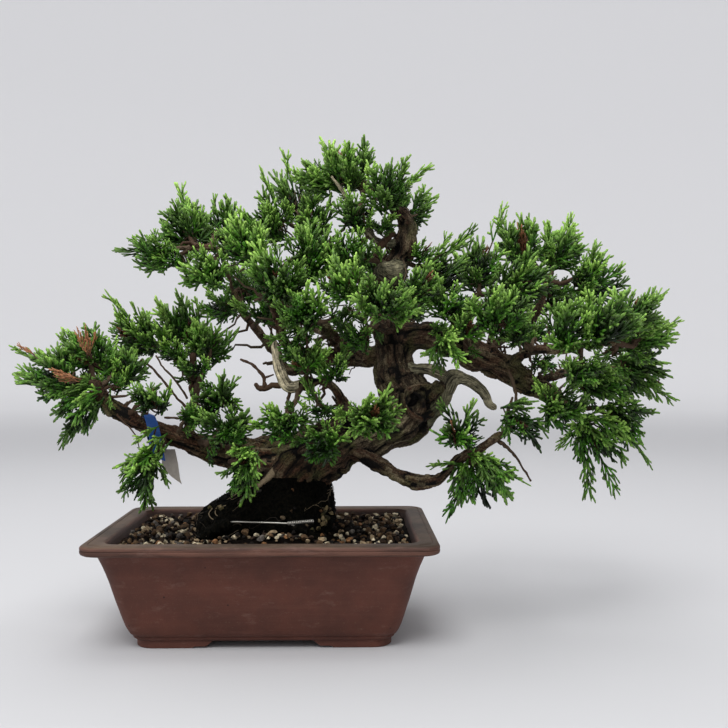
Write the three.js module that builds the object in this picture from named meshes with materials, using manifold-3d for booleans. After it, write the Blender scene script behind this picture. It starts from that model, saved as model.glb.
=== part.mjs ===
// Chinese juniper bonsai in a rectangular stoneware pot, in millimetres, +Z up.
// It is laid out about the middle of the pot's foot, with X along the pot's front, and at the end
// the whole group is moved so that the middle of its box stands on the origin.
// The tree's wood, dead and alive, is one body. Each spray of scale foliage is a body of its own:
// a small core with branchlets standing out of it, on a stem that meets the end of a bark twig.
import * as THREE from "three";
import { mergeVertices } from "three/addons/utils/BufferGeometryUtils.js";
import Module from "manifold-3d";

const wasm = await Module();
wasm.setup();

// Driving dimensions of the pot
const lengthOverDepth = 22;
const potHeight = 51;
const footHeight = 3.7;
const floorTop = 9.5;
const outerCorner = 8;
const innerCorner = 6;
const cornerSteps = 3;
const outerWall = [
  [60.5, 3.7], [61.2, 5.2], [63.2, 7.6], [64.4, 10.5], [65.8, 15.1], [68.1, 23.2], [70.5, 32.4],
  [72.7, 39.4], [74.4, 44], [76.2, 45.6], [79.3, 46.3], [80.6, 46.9], [81, 48], [81, 50], [79.8, 51],
];
const innerWall = [[72.5, 51], [71.2, 50.3], [70.7, 48.5], [68.6, 42], [62.5, 20], [59.5, 11.5], [57, 9.5]];
const drain = { x: 32, radius: 7, sides: 16 };
const foot = { length: 120, depth: 76, width: 12, corner: 9, flat: 27, step: 33.5, stepRise: 0.9, top: 37 };

// Gaps between pieces that touch
const touchGap = 0.3;
const barkGap = 0.35;
const sprayGap = 0.45;

// Soil, mound and what holds the tree down
const soil = { level: 46, columns: 21, rows: 15, spacing: 7.5, grain: 2.3 };
const soilHeap = { x: 27, y: 2, height: 12, reach: 15 };
const moundRings = [
  { z: 20, x: 0, halfWidth: 25, halfDepth: 21 },
  { z: 34, x: 0, halfWidth: 33, halfDepth: 28 },
  { z: 47, x: -1.5, halfWidth: 35, halfDepth: 31 },
  { z: 56, x: -1.5, halfWidth: 34.5, halfDepth: 30 },
  { z: 61, x: 1, halfWidth: 31.5, halfDepth: 27.5 },
  { z: 65, x: 4, halfWidth: 28, halfDepth: 25 },
  { z: 69, x: 7.5, halfWidth: 24, halfDepth: 22 },
  { z: 73, x: 9.5, halfWidth: 21, halfDepth: 20 },
  { z: 75.5, x: 10, halfWidth: 18, halfDepth: 17 },
];
const mound = { sides: 18, grain: 0.08 };
const screen = { size: 24, thickness: 0.8, pitch: 7, hole: 5.4, count: 3 };
const wire = { radius: 0.5, sides: 5 };
const wireRoute = [
  [12, -33, 57], [4, -33.4, 57.4], [-6, -32.6, 57.6], [-16, -29.6, 57.2], [-24, -24.6, 55], [-29, -16, 47],
  [-31, -6, 34], [-31, -1, 20], [-31, -1, 4.6], [-29, -1, 2.9], [29, -1, 2.9], [31, -1, 4.6], [31, -1, 20],
  [29, -8, 34], [23, -24, 47], [17, -31.5, 54], [12, -33, 57],
];
const wireTwist = { from: [11, -33.1, 57.1], to: [23, -31, 57.8], wide: 1, thin: 0.55, turns: 2, steps: 12 };
const tag = {
  at: [-55.5, -17.8, 100.1], along: [-14, -5, 6], inside: 6.1, width: 6.5, thick: 0.7, tab: 12, slant: 0.7,
};
const tagTail = [[-51.5, 90], [-45.5, 90], [-44, 83], [-43, 75.5], [-42.2, 73], [-47, 76.5], [-52, 81.5]];
const tagTailY = -11.8;
const tagSpace = [[-58, -18, 106, 4.5], [-55, -18, 100, 8], [-52, -17, 92, 4.5], [-46, -13, 74, 4.5]];

// The wood. Each limb is a list of [x, y, z, radius] along its middle.
const trunkLine = [
  [7, 0, 52, 10], [9, 0, 66, 14], [14, 0, 79, 17], [30, -2, 89, 14], [48, -4, 96.5, 12.2], [64, -5, 103.5, 13.6],
  [70, -4, 111, 14.2], [65, -2, 121, 11], [63, 0, 129, 9.8], [63.5, 3, 137, 10.2], [62, 4, 146, 9.2], [60, 5, 155, 8.4],
  [58, 5, 167, 7.6], [60, 3, 177, 7], [65, 1, 185, 6.6], [68, 0, 194, 6], [69, 0, 203, 4.8],
  [63, 0, 211, 3.8], [54, 2, 218, 3], [45, 2, 223, 2.3],
];
const liveLimbs = {
  lowLeft: [
    [24, 0, 84, 13.5], [1, 0, 84, 12], [-16, -3, 87, 8.4], [-30, -8, 91, 5.9], [-42, -13, 95, 5.1],
    [-56, -18, 101, 4.8], [-67, -23, 107, 4.2], [-75, -27, 115, 3.6], [-79, -30, 123, 2.5],
  ],
  lowLeftRiser: [
    [-38, -10, 94, 3.4], [-39, -6, 105, 2.3], [-38, 2, 116, 3], [-41, 10, 126, 3.3], [-49, 16, 135, 2.4],
  ],
  midLeft: [
    [60, 5, 137, 6], [47, 10, 135, 4.8], [32, 16, 134, 3.8], [19, 20, 131, 3.3], [8, 24, 129, 3.3],
    [1, 26, 138, 2.9], [-7, 28, 147, 2.5], [-16, 30, 158, 2.1], [-22, 30, 170, 1.8],
  ],
  upperLeft: [
    [38, 13, 136, 4], [29, 5, 136, 3.2], [17, -5, 137, 2.7], [9, -10, 141, 2.5], [6, -14, 150, 2.4],
    [2, -18, 162, 2.2], [-4, -16, 177, 2], [-11, -12, 184, 1.8], [-24, -9, 188, 1.6], [-37, -8, 190, 1.4],
  ],
  rightMain: [
    [63, 3, 145, 8], [78, 0, 146, 7.4], [92, -3, 142, 7.2], [105, -6, 135, 7], [118, -8, 129, 6.6],
    [130, -7, 122, 5.6], [142, -3, 116, 4], [154, 3, 109, 2.8],
  ],
  rightRiser: [
    [105, -6, 136, 3], [119, 10, 144, 2.5], [133, 20, 149, 2.2], [142, 26, 163, 1.9], [146, 27, 176, 1.6],
  ],
  rightFar: [
    [118, -9, 130, 2.8], [128, -20, 138, 2.2], [143, -28, 139, 1.9], [155, -32, 141, 1.7],
    [167, -28, 142, 1.5],
  ],
  rightNear: [[91, -3, 143, 3], [101, 12, 156, 2.2], [108, 18, 168, 1.8]],
  rightLow: [[131, -7, 122, 2.8], [151, 10, 127, 2.1], [169, 20, 130, 1.7]],
  lowRight: [
    [34, -6, 92, 6], [44, -12, 88, 4.8], [54, -16, 83, 4.1], [64, -19, 78, 3.8], [74, -22, 75, 3.3], [82, -23, 76, 2.9],
    [92, -24, 85, 2.5], [104, -24, 92, 2], [114, -21, 98, 1.7],
  ],
  archLeft: [
    [43, -10, 96, 3.6], [38, -16, 110, 2.8], [33, -18, 120, 2.6], [27, -20, 124, 2.7], [18, -22, 122, 2.9],
  ],
  crownLeft: [[59, 5, 170, 4], [42, 16, 178, 3], [26, 18, 192, 2.4], [16, 17, 203, 2]],
  front: [[61, 0, 151, 4], [56, -26, 152, 2.8], [53, -46, 154, 2]],
  frontLeft: [[40, 12, 136, 3.6], [34, -6, 143, 2.8], [30, -18, 148, 2.4], [22, -28, 154, 2]],
  back: [[62, 6, 141, 4.2], [68, 30, 150, 3], [73, 50, 158, 2.2]],
  backLeft: [[46, 8, 135, 3.4], [30, 36, 147, 2.6], [14, 54, 155, 2]],
  backRight: [[93, -2, 141, 3.4], [108, 30, 150, 2.6], [124, 50, 158, 2]],
};
const deadLimbs = {
  leftStub: [
    [21, -21, 123, 2.8], [11, -22, 121, 2.9], [7, -23, 128, 2.6], [5, -23, 136, 2.3], [4, -23, 143, 1.8],
  ],
  rightArm: [
    [78, -9, 106, 5.5], [85, -12, 112.5, 4.2], [88, -13, 120, 4.6], [91, -13, 125, 4.2], [97, -13, 124.3, 3.3],
    [103, -13, 121, 3.1], [107.2, -13, 116.5, 2.8], [108.6, -13, 112.5, 2.2], [112, -13, 110, 1.3],
  ],
  rightArmLoop: [[66, -3, 130, 4], [72, -6, 129.3, 3.2], [78, -9, 129.3, 2.9], [86, -12, 127, 3.4]],
  top: [
    [68, 0, 193, 3], [58, -4, 192, 2.4], [51, -6, 195, 2], [43, -8, 206, 1.5], [37, -8, 217, 1.2],
    [31, -8, 225, 0.8],
  ],
  topFork: [[52, -6, 195, 1.6], [50, -5, 203, 1.3], [49, -4, 209, 0.9]],
  knob: [[65, -2, 178, 6.5], [59, -9, 177, 5.5], [55, -12, 179, 4]],
};
const roots = [
  [[9, 0, 62, 8], [-5, -7, 50, 5], [-16, -12, 34, 2.6]],
  [[10, 0, 62, 8], [16, -12, 48, 5], [18, -16, 32, 2.4]],
  [[9, 0, 62, 8], [18, 10, 50, 5], [22, 14, 34, 2.6]],
  [[8, 0, 62, 8], [-3, 12, 48, 5], [-8, 17, 32, 2.4]],
];
const trunkSides = 11;
const limbSides = 6;
const thinSides = 4;
const thinRadius = 3.3;
const rootSides = 6;

// Foliage. Each spray holds one or more clumps: [x, y, z, half width, half height].
const sprays = {
  low_left_tip: [[-99, -27, 127, 15, 12]],
  low_left_crest: [[-87, -18, 138, 15, 11]],
  low_left_under: [[-86, -30, 112, 14, 13]],
  left_shelf_end: [[-68, 6, 146, 16, 12], [-70, -16, 130, 14, 9]],
  left_shelf: [[-49, 22, 153, 15, 12], [-29, 36, 164, 13, 11], [-34, 10, 142, 13, 10]],
  upper_left_end: [[-57, -14, 187, 13, 9]],
  upper_left_crest: [[-43, 6, 202, 15, 12]],
  upper_left_inner: [[-26, 16, 206, 13, 12]],
  upper_left_under: [[-28, -27, 176, 13, 10]],
  crown_left_end: [[-2, 8, 207, 13, 12]],
  crown_left: [[11, 27, 220, 12, 13]],
  crown_left_under: [[-11, -22, 190, 13, 11]],
  crown_tip: [[38, 1, 231, 16, 12], [23, 6, 228, 10, 10]],
  crown_right: [[60, -15, 219, 13, 11], [73, 12, 213, 10, 11]],
  crown_middle: [[43, -14, 206, 12, 9], [22, 6, 207, 11, 9]],
  middle_left: [[7, -37, 173, 14, 13]],
  middle_upper: [[22, -24, 187, 13, 12]],
  middle_front: [[18, -46, 157, 13, 11]],
  middle_right: [[41, -25, 186, 12, 9]],
  middle_low: [[38, -47, 170, 13, 10]],
  middle_inner: [[43, -30, 146, 10, 8], [13, -30, 138, 9, 7]],
  front_clump: [[56, -62, 160, 15, 10]],
  front_right: [[74, -27, 170, 11, 10], [90, -24, 162, 11, 9]],
  low_left_inner: [[-23, -30, 118, 12, 10], [-17, -43, 103, 13, 10]],
  low_left_tuft: [[-54, -35, 116, 12, 8]],
  low_left_drop: [[-57, -36, 81, 10, 14]],
  middle_drop: [[-9, -45, 84, 9, 13]],
  mound_left: [[9, -40, 104, 14, 9]],
  mound_right: [[27, -44, 95, 13, 10]],
  trunk_front: [[50, -53, 109, 14, 11]],
  arch_tuft: [[20, -38, 133, 10, 7], [33, -36, 129, 9, 7]],
  hanging_tuft: [[85, -34, 140, 9, 13]],
  right_crest_inner: [[88, 6, 178, 12, 12]],
  right_crest_middle: [[110, 24, 184, 13, 13]],
  right_top: [[134, 32, 197, 15, 13], [155, 35, 194, 13, 12]],
  right_top_under: [[130, 4, 174, 15, 12]],
  right_upper_end: [[170, 18, 176, 15, 13]],
  right_end: [[176, -26, 156, 16, 10], [188, -12, 145, 14, 12]],
  right_end_under: [[193, 18, 126, 15, 14]],
  right_middle: [[159, -46, 152, 14, 12]],
  right_front: [[140, -47, 149, 13, 12]],
  right_low: [[167, -2, 121, 15, 12]],
  right_low_inner: [[142, -27, 112, 12, 12], [147, -44, 129, 12, 7]],
  right_drop: [[165, -6, 93, 15, 14], [180, -4, 104, 13, 11]],
  right_inner: [[110, -36, 157, 14, 11]],
  right_under: [[123, -31, 104, 11, 13]],
  low_right: [[93, -36, 100, 13, 11]],
  low_right_end: [[104, -26, 77, 16, 11]],
  back_middle: [[73, 64, 168, 16, 12], [58, 48, 188, 14, 11]],
  back_left: [[2, 64, 163, 16, 11], [-16, 44, 176, 14, 11]],
  back_right: [[133, 62, 167, 16, 12], [152, 38, 170, 13, 11]],
};
const coreShare = 0.7;
const smallestCore = 0.25;
const wideClump = 15.5;
const branchlet = { radius: 1, crotch: 0.35, spread: 0.52, upward: 0.14, longest: 1.32, shortest: 0.75 };
const stem = { radius: 1.2, sides: 3, nub: 1.4, room: 2.4 };

// Small helpers
const point = ([x, y, z]) => new THREE.Vector3(x, y, z);

// A number from 0 to 1 that is always the same for the same whole numbers.
function fixedRandom(a, b = 0, c = 0) {
  const wave = Math.sin(a * 127.1 + b * 311.7 + c * 74.7 + 13.3) * 43758.5453;
  return wave - Math.floor(wave);
}

// A closed solid from rings of equal length. The first and the last ring are closed flat.
function loft(rings) {
  const sides = rings[0].length;
  const positions = rings.flat().flatMap((p) => [p.x, p.y, p.z]);
  const triangles = [];
  for (let ring = 0; ring + 1 < rings.length; ring++) {
    for (let side = 0; side < sides; side++) {
      const a = ring * sides + side;
      const b = ring * sides + ((side + 1) % sides);
      triangles.push(a, b, b + sides, a, b + sides, a + sides);
    }
  }
  const last = (rings.length - 1) * sides;
  for (let side = 1; side + 1 < sides; side++) {
    triangles.push(0, side + 1, side);
    triangles.push(last, last + side, last + side + 1);
  }
  const geometry = new THREE.BufferGeometry();
  geometry.setAttribute("position", new THREE.Float32BufferAttribute(positions, 3));
  geometry.setIndex(triangles);
  return geometry;
}

function toSolid(geometry) {
  const bare = geometry.clone();
  bare.deleteAttribute("normal");
  bare.deleteAttribute("uv");
  const merged = mergeVertices(bare, 1e-4);
  return new wasm.Manifold(new wasm.Mesh({
    numProp: 3,
    vertProperties: Float32Array.from(merged.attributes.position.array),
    triVerts: Uint32Array.from(merged.index.array),
  }));
}

function joinSolids(solids) {
  return solids.reduce((joined, solid) => joined.add(solid));
}

// The largest body of a solid, with tiny edges taken out.
function toGeometry(solid, finest = 0.06) {
  const bodies = solid.simplify(finest).decompose();
  const body = bodies.reduce((best, next) => (next.volume() > best.volume() ? next : best));
  const mesh = body.getMesh();
  const geometry = new THREE.BufferGeometry();
  geometry.setAttribute("position", new THREE.BufferAttribute(mesh.vertProperties, 3));
  geometry.setIndex(new THREE.BufferAttribute(mesh.triVerts, 1));
  return geometry;
}

// Rings along a smooth line through knots [x, y, z, radius]. grow makes the limb thicker and longer
// all over, to cut a hole that clears it. waves gives the section shallow lobes, as old wood has.
function limbRings(knots, { sides, perSpan, grow = 0, waves = 0 }) {
  const line = new THREE.CatmullRomCurve3(knots.map(point), false, "centripetal");
  const steps = (knots.length - 1) * perSpan;
  const rings = [];
  const tangent = line.getTangent(0);
  const across = new THREE.Vector3(0, 1, 0);
  if (Math.abs(tangent.y) > 0.9) {
    across.set(1, 0, 0);
  }
  across.addScaledVector(tangent, -across.dot(tangent)).normalize();
  for (let step = 0; step <= steps; step++) {
    const t = step / steps;
    const centre = line.getPoint(t);
    const ahead = line.getTangent(t);
    across.addScaledVector(ahead, -across.dot(ahead)).normalize();
    const up = new THREE.Vector3().crossVectors(ahead, across);
    const span = Math.min(Math.floor(step / perSpan), knots.length - 2);
    const radius = THREE.MathUtils.lerp(knots[span][3], knots[span + 1][3], step / perSpan - span) + grow;
    if (step === 0) {
      centre.addScaledVector(ahead, -grow);
    }
    if (step === steps) {
      centre.addScaledVector(ahead, grow);
    }
    const ring = [];
    for (let side = 0; side < sides; side++) {
      const angle = (side / sides) * Math.PI * 2;
      const lobe = 1 + waves * Math.sin(3 * angle + step * 0.9) + waves * Math.sin(5 * angle - step * 1.3);
      ring.push(centre.clone()
        .addScaledVector(across, Math.cos(angle) * radius * lobe)
        .addScaledVector(up, Math.sin(angle) * radius * lobe));
    }
    rings.push(ring);
  }
  return rings;
}

const limbSolid = (knots, shape) => toSolid(loft(limbRings(knots, shape)));

// A straight prism between two points, flat at both ends.
function prism(from, to, fromRadius, toRadius, sides) {
  const knots = [[...from.toArray(), fromRadius], [...to.toArray(), toRadius]];
  return limbSolid(knots, { sides, perSpan: 1 });
}

function boxSolid(sizeX, sizeY, sizeZ, x, y, z) {
  const geometry = new THREE.BoxGeometry(sizeX, sizeY, sizeZ);
  geometry.translate(x, y, z);
  return toSolid(geometry);
}

// Pot
function roundedRing(halfLength, halfDepth, corner, z) {
  const ring = [];
  const corners = [[1, 1], [-1, 1], [-1, -1], [1, -1]];
  corners.forEach(([sideX, sideY], quarter) => {
    for (let step = 0; step <= cornerSteps; step++) {
      const angle = (quarter + step / cornerSteps) * Math.PI / 2;
      ring.push(new THREE.Vector3(
        sideX * (halfLength - corner) + Math.cos(angle) * corner,
        sideY * (halfDepth - corner) + Math.sin(angle) * corner,
        z,
      ));
    }
  });
  return ring;
}

const wallRing = (halfLength, z, corner) => roundedRing(halfLength, halfLength - lengthOverDepth, corner, z);

// One leg of a corner foot: flat on the ground, then a small step and a slope up to the body.
function footLeg(reach) {
  const outline = new THREE.Shape();
  const buried = footHeight + 1.5;
  outline.moveTo(0, 0);
  outline.lineTo(foot.flat * reach, 0);
  outline.lineTo(foot.flat * reach + 1.5, foot.stepRise);
  outline.lineTo(foot.step * reach, foot.stepRise);
  outline.lineTo(foot.top * reach, footHeight);
  outline.lineTo(foot.top * reach, buried);
  outline.lineTo(0, buried);
  const leg = new THREE.ExtrudeGeometry(outline, { depth: foot.width, bevelEnabled: false });
  leg.rotateX(Math.PI / 2);
  return leg;
}

function footSolid() {
  const alongFront = footLeg(1);
  alongFront.translate(-foot.length / 2, -foot.depth / 2 + foot.width, 0);
  const alongSide = footLeg((foot.depth / 2 - 13) / foot.top);
  alongSide.rotateZ(Math.PI / 2);
  alongSide.translate(-foot.length / 2, -foot.depth / 2, 0);
  const outline = toSolid(loft([
    roundedRing(foot.length / 2, foot.depth / 2, foot.corner, 0),
    roundedRing(foot.length / 2, foot.depth / 2, foot.corner, footHeight + 2),
  ]));
  return joinSolids([toSolid(alongFront), toSolid(alongSide)]).intersect(outline);
}

function makePot() {
  const walls = [
    ...outerWall.map(([halfLength, z]) => wallRing(halfLength, z, outerCorner)),
    ...innerWall.map(([halfLength, z]) => wallRing(halfLength, z, innerCorner)),
  ];
  const corner = footSolid();
  const feet = [
    corner, corner.mirror([1, 0, 0]), corner.mirror([0, 1, 0]), corner.mirror([1, 0, 0]).mirror([0, 1, 0]),
  ];
  let pot = joinSolids([toSolid(loft(walls)), ...feet]);
  for (const side of [-1, 1]) {
    const hole = new THREE.CylinderGeometry(drain.radius, drain.radius, 20, drain.sides);
    hole.rotateX(Math.PI / 2);
    hole.translate(side * drain.x, 0, floorTop - 5);
    pot = pot.subtract(toSolid(hole));
  }
  return toGeometry(pot);
}

// The space inside the pot, a touching gap smaller all round, for the soil to fill.
function potSpace() {
  const inside = innerWall.slice(1).map(([halfLength, z]) => wallRing(halfLength - touchGap, z, innerCorner));
  const floor = wallRing(innerWall.at(-1)[0] - touchGap, floorTop + touchGap, innerCorner);
  inside[inside.length - 1] = floor;
  const above = wallRing(innerWall[1][0] - touchGap, potHeight + 20, innerCorner);
  return toSolid(loft([...inside.reverse(), above]));
}

// Drain screens: a square mesh lying on the pot's floor over each drain hole
const screenZ = floorTop + touchGap + screen.thickness / 2;

function makeScreen(side) {
  let plate = boxSolid(screen.size, screen.size, screen.thickness, side * drain.x, 0, screenZ);
  for (let column = 0; column < screen.count; column++) {
    for (let row = 0; row < screen.count; row++) {
      const x = side * drain.x + (column - (screen.count - 1) / 2) * screen.pitch;
      const y = (row - (screen.count - 1) / 2) * screen.pitch;
      plate = plate.subtract(boxSolid(screen.hole, screen.hole, 4, x, y, screenZ));
    }
  }
  return toGeometry(plate);
}

// Tie wire: up through both drain holes and screens, over the front of the mound, its ends twisted
function wireSolid(grow = 0) {
  const loop = wireRoute.map((knot) => [...knot, wire.radius]);
  const half = Math.floor(loop.length / 2);
  const parts = [loop.slice(0, half + 1), loop.slice(half)];
  const strands = parts.map((knots) => limbSolid(knots, { sides: wire.sides, perSpan: 1, grow }));
  const from = point(wireTwist.from);
  const to = point(wireTwist.to);
  const ahead = to.clone().sub(from).normalize();
  const across = new THREE.Vector3(0, 0, 1);
  const up = new THREE.Vector3().crossVectors(ahead, across);
  const rings = [];
  for (let step = 0; step <= wireTwist.steps; step++) {
    const share = step / wireTwist.steps;
    const centre = from.clone().lerp(to, share);
    const turn = share * wireTwist.turns * Math.PI * 2;
    const ring = [];
    for (let side = 0; side < wire.sides; side++) {
      const angle = (side / wire.sides) * Math.PI * 2;
      const long = Math.cos(angle) * (wireTwist.wide + grow);
      const short = Math.sin(angle) * (wireTwist.thin + grow);
      ring.push(centre.clone()
        .addScaledVector(across, long * Math.cos(turn) - short * Math.sin(turn))
        .addScaledVector(up, long * Math.sin(turn) + short * Math.cos(turn)));
    }
    rings.push(ring);
  }
  return joinSolids([...strands, toSolid(loft(rings))]);
}

// Mound of muck and fine roots that the tree grows out of
function moundSolid(grow = 0) {
  const rings = moundRings.map((level, ring) => {
    const outline = [];
    for (let side = 0; side < mound.sides; side++) {
      const angle = (side / mound.sides) * Math.PI * 2;
      const rough = 1 + mound.grain * (fixedRandom(side, ring) - 0.5);
      outline.push(new THREE.Vector3(
        level.x + Math.cos(angle) * (level.halfWidth * rough + grow),
        Math.sin(angle) * (level.halfDepth * rough + grow),
        level.z + (ring === 0 ? -grow : 0),
      ));
    }
    return outline;
  });
  return toSolid(loft(rings));
}

function makeMound(treeBaseGrown) {
  return toGeometry(moundSolid().subtract(treeBaseGrown).subtract(wireSolid(touchGap)));
}

// Soil: a block with a grainy top that rises towards the mound
function soilHeight(x, y) {
  const away = Math.hypot(x - soilHeap.x, y - soilHeap.y) / soilHeap.reach;
  return soil.level + soilHeap.height * Math.exp(-away * away);
}

function makeSoil() {
  const positions = [];
  const triangles = [];
  const count = soil.columns * soil.rows;
  for (const layer of [0, 1]) {
    for (let row = 0; row < soil.rows; row++) {
      for (let column = 0; column < soil.columns; column++) {
        const shift = layer ? 0 : 0.3;
        const aside = shift * (fixedRandom(column, row, 1) - 0.5);
        const back = shift * (fixedRandom(column, row, 2) - 0.5);
        const x = (column - (soil.columns - 1) / 2 + aside) * soil.spacing;
        const y = (row - (soil.rows - 1) / 2 + back) * soil.spacing;
        const grain = soil.grain * (fixedRandom(column, row, 3) - 0.5);
        positions.push(x, y, layer ? 0 : soilHeight(x, y) + grain);
      }
    }
  }
  for (let row = 0; row + 1 < soil.rows; row++) {
    for (let column = 0; column + 1 < soil.columns; column++) {
      const a = row * soil.columns + column;
      const b = a + 1;
      const c = a + soil.columns;
      const d = c + 1;
      triangles.push(a, b, d, a, d, c);
      triangles.push(count + a, count + d, count + b, count + a, count + c, count + d);
    }
  }
  const edge = [];
  const lastColumn = soil.columns - 1;
  const lastRow = soil.rows - 1;
  for (let column = 0; column < lastColumn; column++) {
    edge.push(column);
  }
  for (let row = 0; row < lastRow; row++) {
    edge.push(row * soil.columns + lastColumn);
  }
  for (let column = lastColumn; column > 0; column--) {
    edge.push(lastRow * soil.columns + column);
  }
  for (let row = lastRow; row > 0; row--) {
    edge.push(row * soil.columns);
  }
  edge.forEach((a, index) => {
    const b = edge[(index + 1) % edge.length];
    triangles.push(a, count + a, count + b, a, count + b, b);
  });
  const block = new THREE.BufferGeometry();
  block.setAttribute("position", new THREE.Float32BufferAttribute(positions, 3));
  block.setIndex(triangles);
  let body = toSolid(block).intersect(potSpace());
  body = body.subtract(moundSolid(touchGap)).subtract(wireSolid(touchGap));
  for (const side of [-1, 1]) {
    const width = screen.size + touchGap * 2;
    const height = screen.thickness + touchGap * 2;
    body = body.subtract(boxSolid(width, width, height, side * drain.x, 0, screenZ));
  }
  return toGeometry(body);
}

// Tag: a band that slants round the low left branch and ends in a tab, with a pointed tail behind it
function makeTagBand() {
  const along = point(tag.along).normalize();
  const up = new THREE.Vector3(0, 0, 1).addScaledVector(along, -along.z).normalize();
  const across = new THREE.Vector3().crossVectors(up, along);
  const drop = (radius, low) => {
    const outline = [];
    for (let step = 0; step <= 12; step++) {
      const angle = -Math.PI / 4 + (step / 12) * Math.PI * 1.5;
      outline.push(new THREE.Vector2(Math.cos(angle) * radius, Math.sin(angle) * radius));
    }
    outline.push(new THREE.Vector2(-tag.thick * 1.6 + (tag.inside + tag.thick - radius), low));
    outline.push(new THREE.Vector2(tag.thick * 1.6 - (tag.inside + tag.thick - radius), low));
    return outline;
  };
  const outline = new THREE.Shape(drop(tag.inside + tag.thick, -tag.tab));
  outline.holes.push(new THREE.Path(drop(tag.inside, -tag.inside * 1.45)));
  const settings = { depth: tag.width, bevelEnabled: false, curveSegments: 1 };
  const band = new THREE.ExtrudeGeometry(outline, settings);
  band.translate(0, 0, -tag.width / 2);
  const slanted = up.clone().addScaledVector(along, tag.slant);
  const place = new THREE.Matrix4().makeBasis(across, slanted, along).setPosition(...tag.at);
  return toGeometry(toSolid(band.applyMatrix4(place)));
}

function makeTagTail() {
  const outline = new THREE.Shape(tagTail.map(([x, z]) => new THREE.Vector2(x, z)));
  const tail = new THREE.ExtrudeGeometry(outline, { depth: tag.thick, bevelEnabled: false });
  tail.rotateX(Math.PI / 2);
  tail.translate(0, tagTailY, 0);
  return toGeometry(toSolid(tail));
}

// Stretches of wood and foliage that are already placed: { owner, from, to, radius }
const placed = [];

function keepLimb(owner, knots, perSpan) {
  const line = new THREE.CatmullRomCurve3(knots.map(point), false, "centripetal");
  const steps = (knots.length - 1) * perSpan;
  const samples = [];
  for (let step = 0; step < steps; step++) {
    const span = Math.floor(step / perSpan);
    const radius = Math.max(knots[span][3], knots[span + 1][3]);
    const from = line.getPoint(step / steps);
    placed.push({ owner, from, to: line.getPoint((step + 1) / steps), radius });
    samples.push({ at: from, radius });
  }
  samples.push({ at: line.getPoint(1), radius: knots.at(-1)[3] });
  return samples;
}

// The shortest distance between two straight stretches
function stretchDistance(a, b) {
  const alongA = a.to.clone().sub(a.from);
  const alongB = b.to.clone().sub(b.from);
  const between = a.from.clone().sub(b.from);
  const aa = alongA.lengthSq();
  const bb = alongB.lengthSq();
  const ab = alongA.dot(alongB);
  const toA = alongA.dot(between);
  const toB = alongB.dot(between);
  const spread = aa * bb - ab * ab;
  let shareA = spread > 1e-9 ? THREE.MathUtils.clamp((ab * toB - toA * bb) / spread, 0, 1) : 0;
  const shareB = THREE.MathUtils.clamp((ab * shareA + toB) / bb, 0, 1);
  shareA = THREE.MathUtils.clamp((ab * shareB - toA) / aa, 0, 1);
  const nearA = a.from.clone().addScaledVector(alongA, shareA);
  const nearB = b.from.clone().addScaledVector(alongB, shareB);
  return nearA.distanceTo(nearB);
}

// How far a stretch stays from a clump's core, at least
function coreDistance(clump, stretch) {
  const half = clump.half.clone().multiplyScalar(clump.share);
  const from = stretch.from.clone().sub(clump.centre).divide(half);
  const to = stretch.to.clone().sub(clump.centre).divide(half);
  const along = to.clone().sub(from);
  const share = THREE.MathUtils.clamp(-from.dot(along) / along.lengthSq(), 0, 1);
  const nearest = from.addScaledVector(along, share).length();
  return (nearest - 1) * Math.min(half.x, half.z);
}

// The reach of a clump's core in a direction
const coreReach = (clump, direction) => clump.half.clone().multiply(direction).length() * clump.share;

const clumps = Object.entries(sprays).flatMap(([spray, list]) => list.map(([x, y, z, width, height]) => ({
  spray,
  centre: new THREE.Vector3(x, y, z),
  half: new THREE.Vector3(width, width, height),
  share: coreShare,
})));

// Cores shrink until they clear the wood and the cores of other sprays.
function fitCores() {
  for (const clump of clumps) {
    const clears = () => placed.every((limb) => coreDistance(clump, limb) > limb.radius + stem.room);
    while (clump.share > smallestCore && !clears()) {
      clump.share *= 0.92;
    }
  }
  for (const clump of clumps) {
    for (const other of clumps.filter((next) => next.spray !== clump.spray)) {
      const between = other.centre.clone().sub(clump.centre);
      const distance = between.length();
      between.normalize();
      while (coreReach(clump, between) + coreReach(other, between) + sprayGap > distance) {
        clump.share *= 0.94;
        other.share *= 0.94;
      }
    }
  }
}

const clearOfCores = (stretch, spray) => clumps.every((clump) => (
  clump.spray === spray || coreDistance(clump, stretch) > stretch.radius + sprayGap
));

const clearOfPlaced = (stretch, owners) => placed.every((other) => (
  owners.includes(other.owner) || stretchDistance(stretch, other) > stretch.radius + other.radius + sprayGap
));

// A bark twig from the nearest limb that has a clear way, and the green stem that carries on from it.
function feedClump(clump, samples) {
  const nearest = samples
    .map((sample) => ({ ...sample, distance: sample.at.distanceTo(clump.centre) }))
    .sort((a, b) => a.distance - b.distance);
  for (const { at, radius, distance } of nearest) {
    const ahead = clump.centre.clone().sub(at).normalize();
    const nub = radius + stem.nub;
    const reach = Math.max(nub, distance - coreReach(clump, ahead) - stem.nub - barkGap);
    const twigEnd = at.clone().addScaledVector(ahead, reach);
    const stemStart = twigEnd.clone().addScaledVector(ahead, barkGap);
    const twig = { owner: "tree", from: at, to: twigEnd, radius: stem.radius };
    const green = { owner: clump.spray, from: stemStart, to: clump.centre, radius: stem.radius };
    if (clearOfCores(twig, clump.spray) && clearOfCores(green, clump.spray)
      && clearOfPlaced(green, [clump.spray])) {
      const owned = placed.filter((other) => !["tree", clump.spray].includes(other.owner));
      if (owned.every((other) => stretchDistance(twig, other) > twig.radius + other.radius + sprayGap)) {
        placed.push(twig, green);
        return { twig, green };
      }
    }
  }
  throw new Error(`no way from the wood to ${clump.spray}`);
}

// Tree: trunk, live limbs, deadwood, roots and the bark twigs, all one body
const limbShape = (knots) => ({
  sides: Math.max(...knots.map((knot) => knot[3])) > thinRadius ? limbSides : thinSides, perSpan: 1,
});

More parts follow.
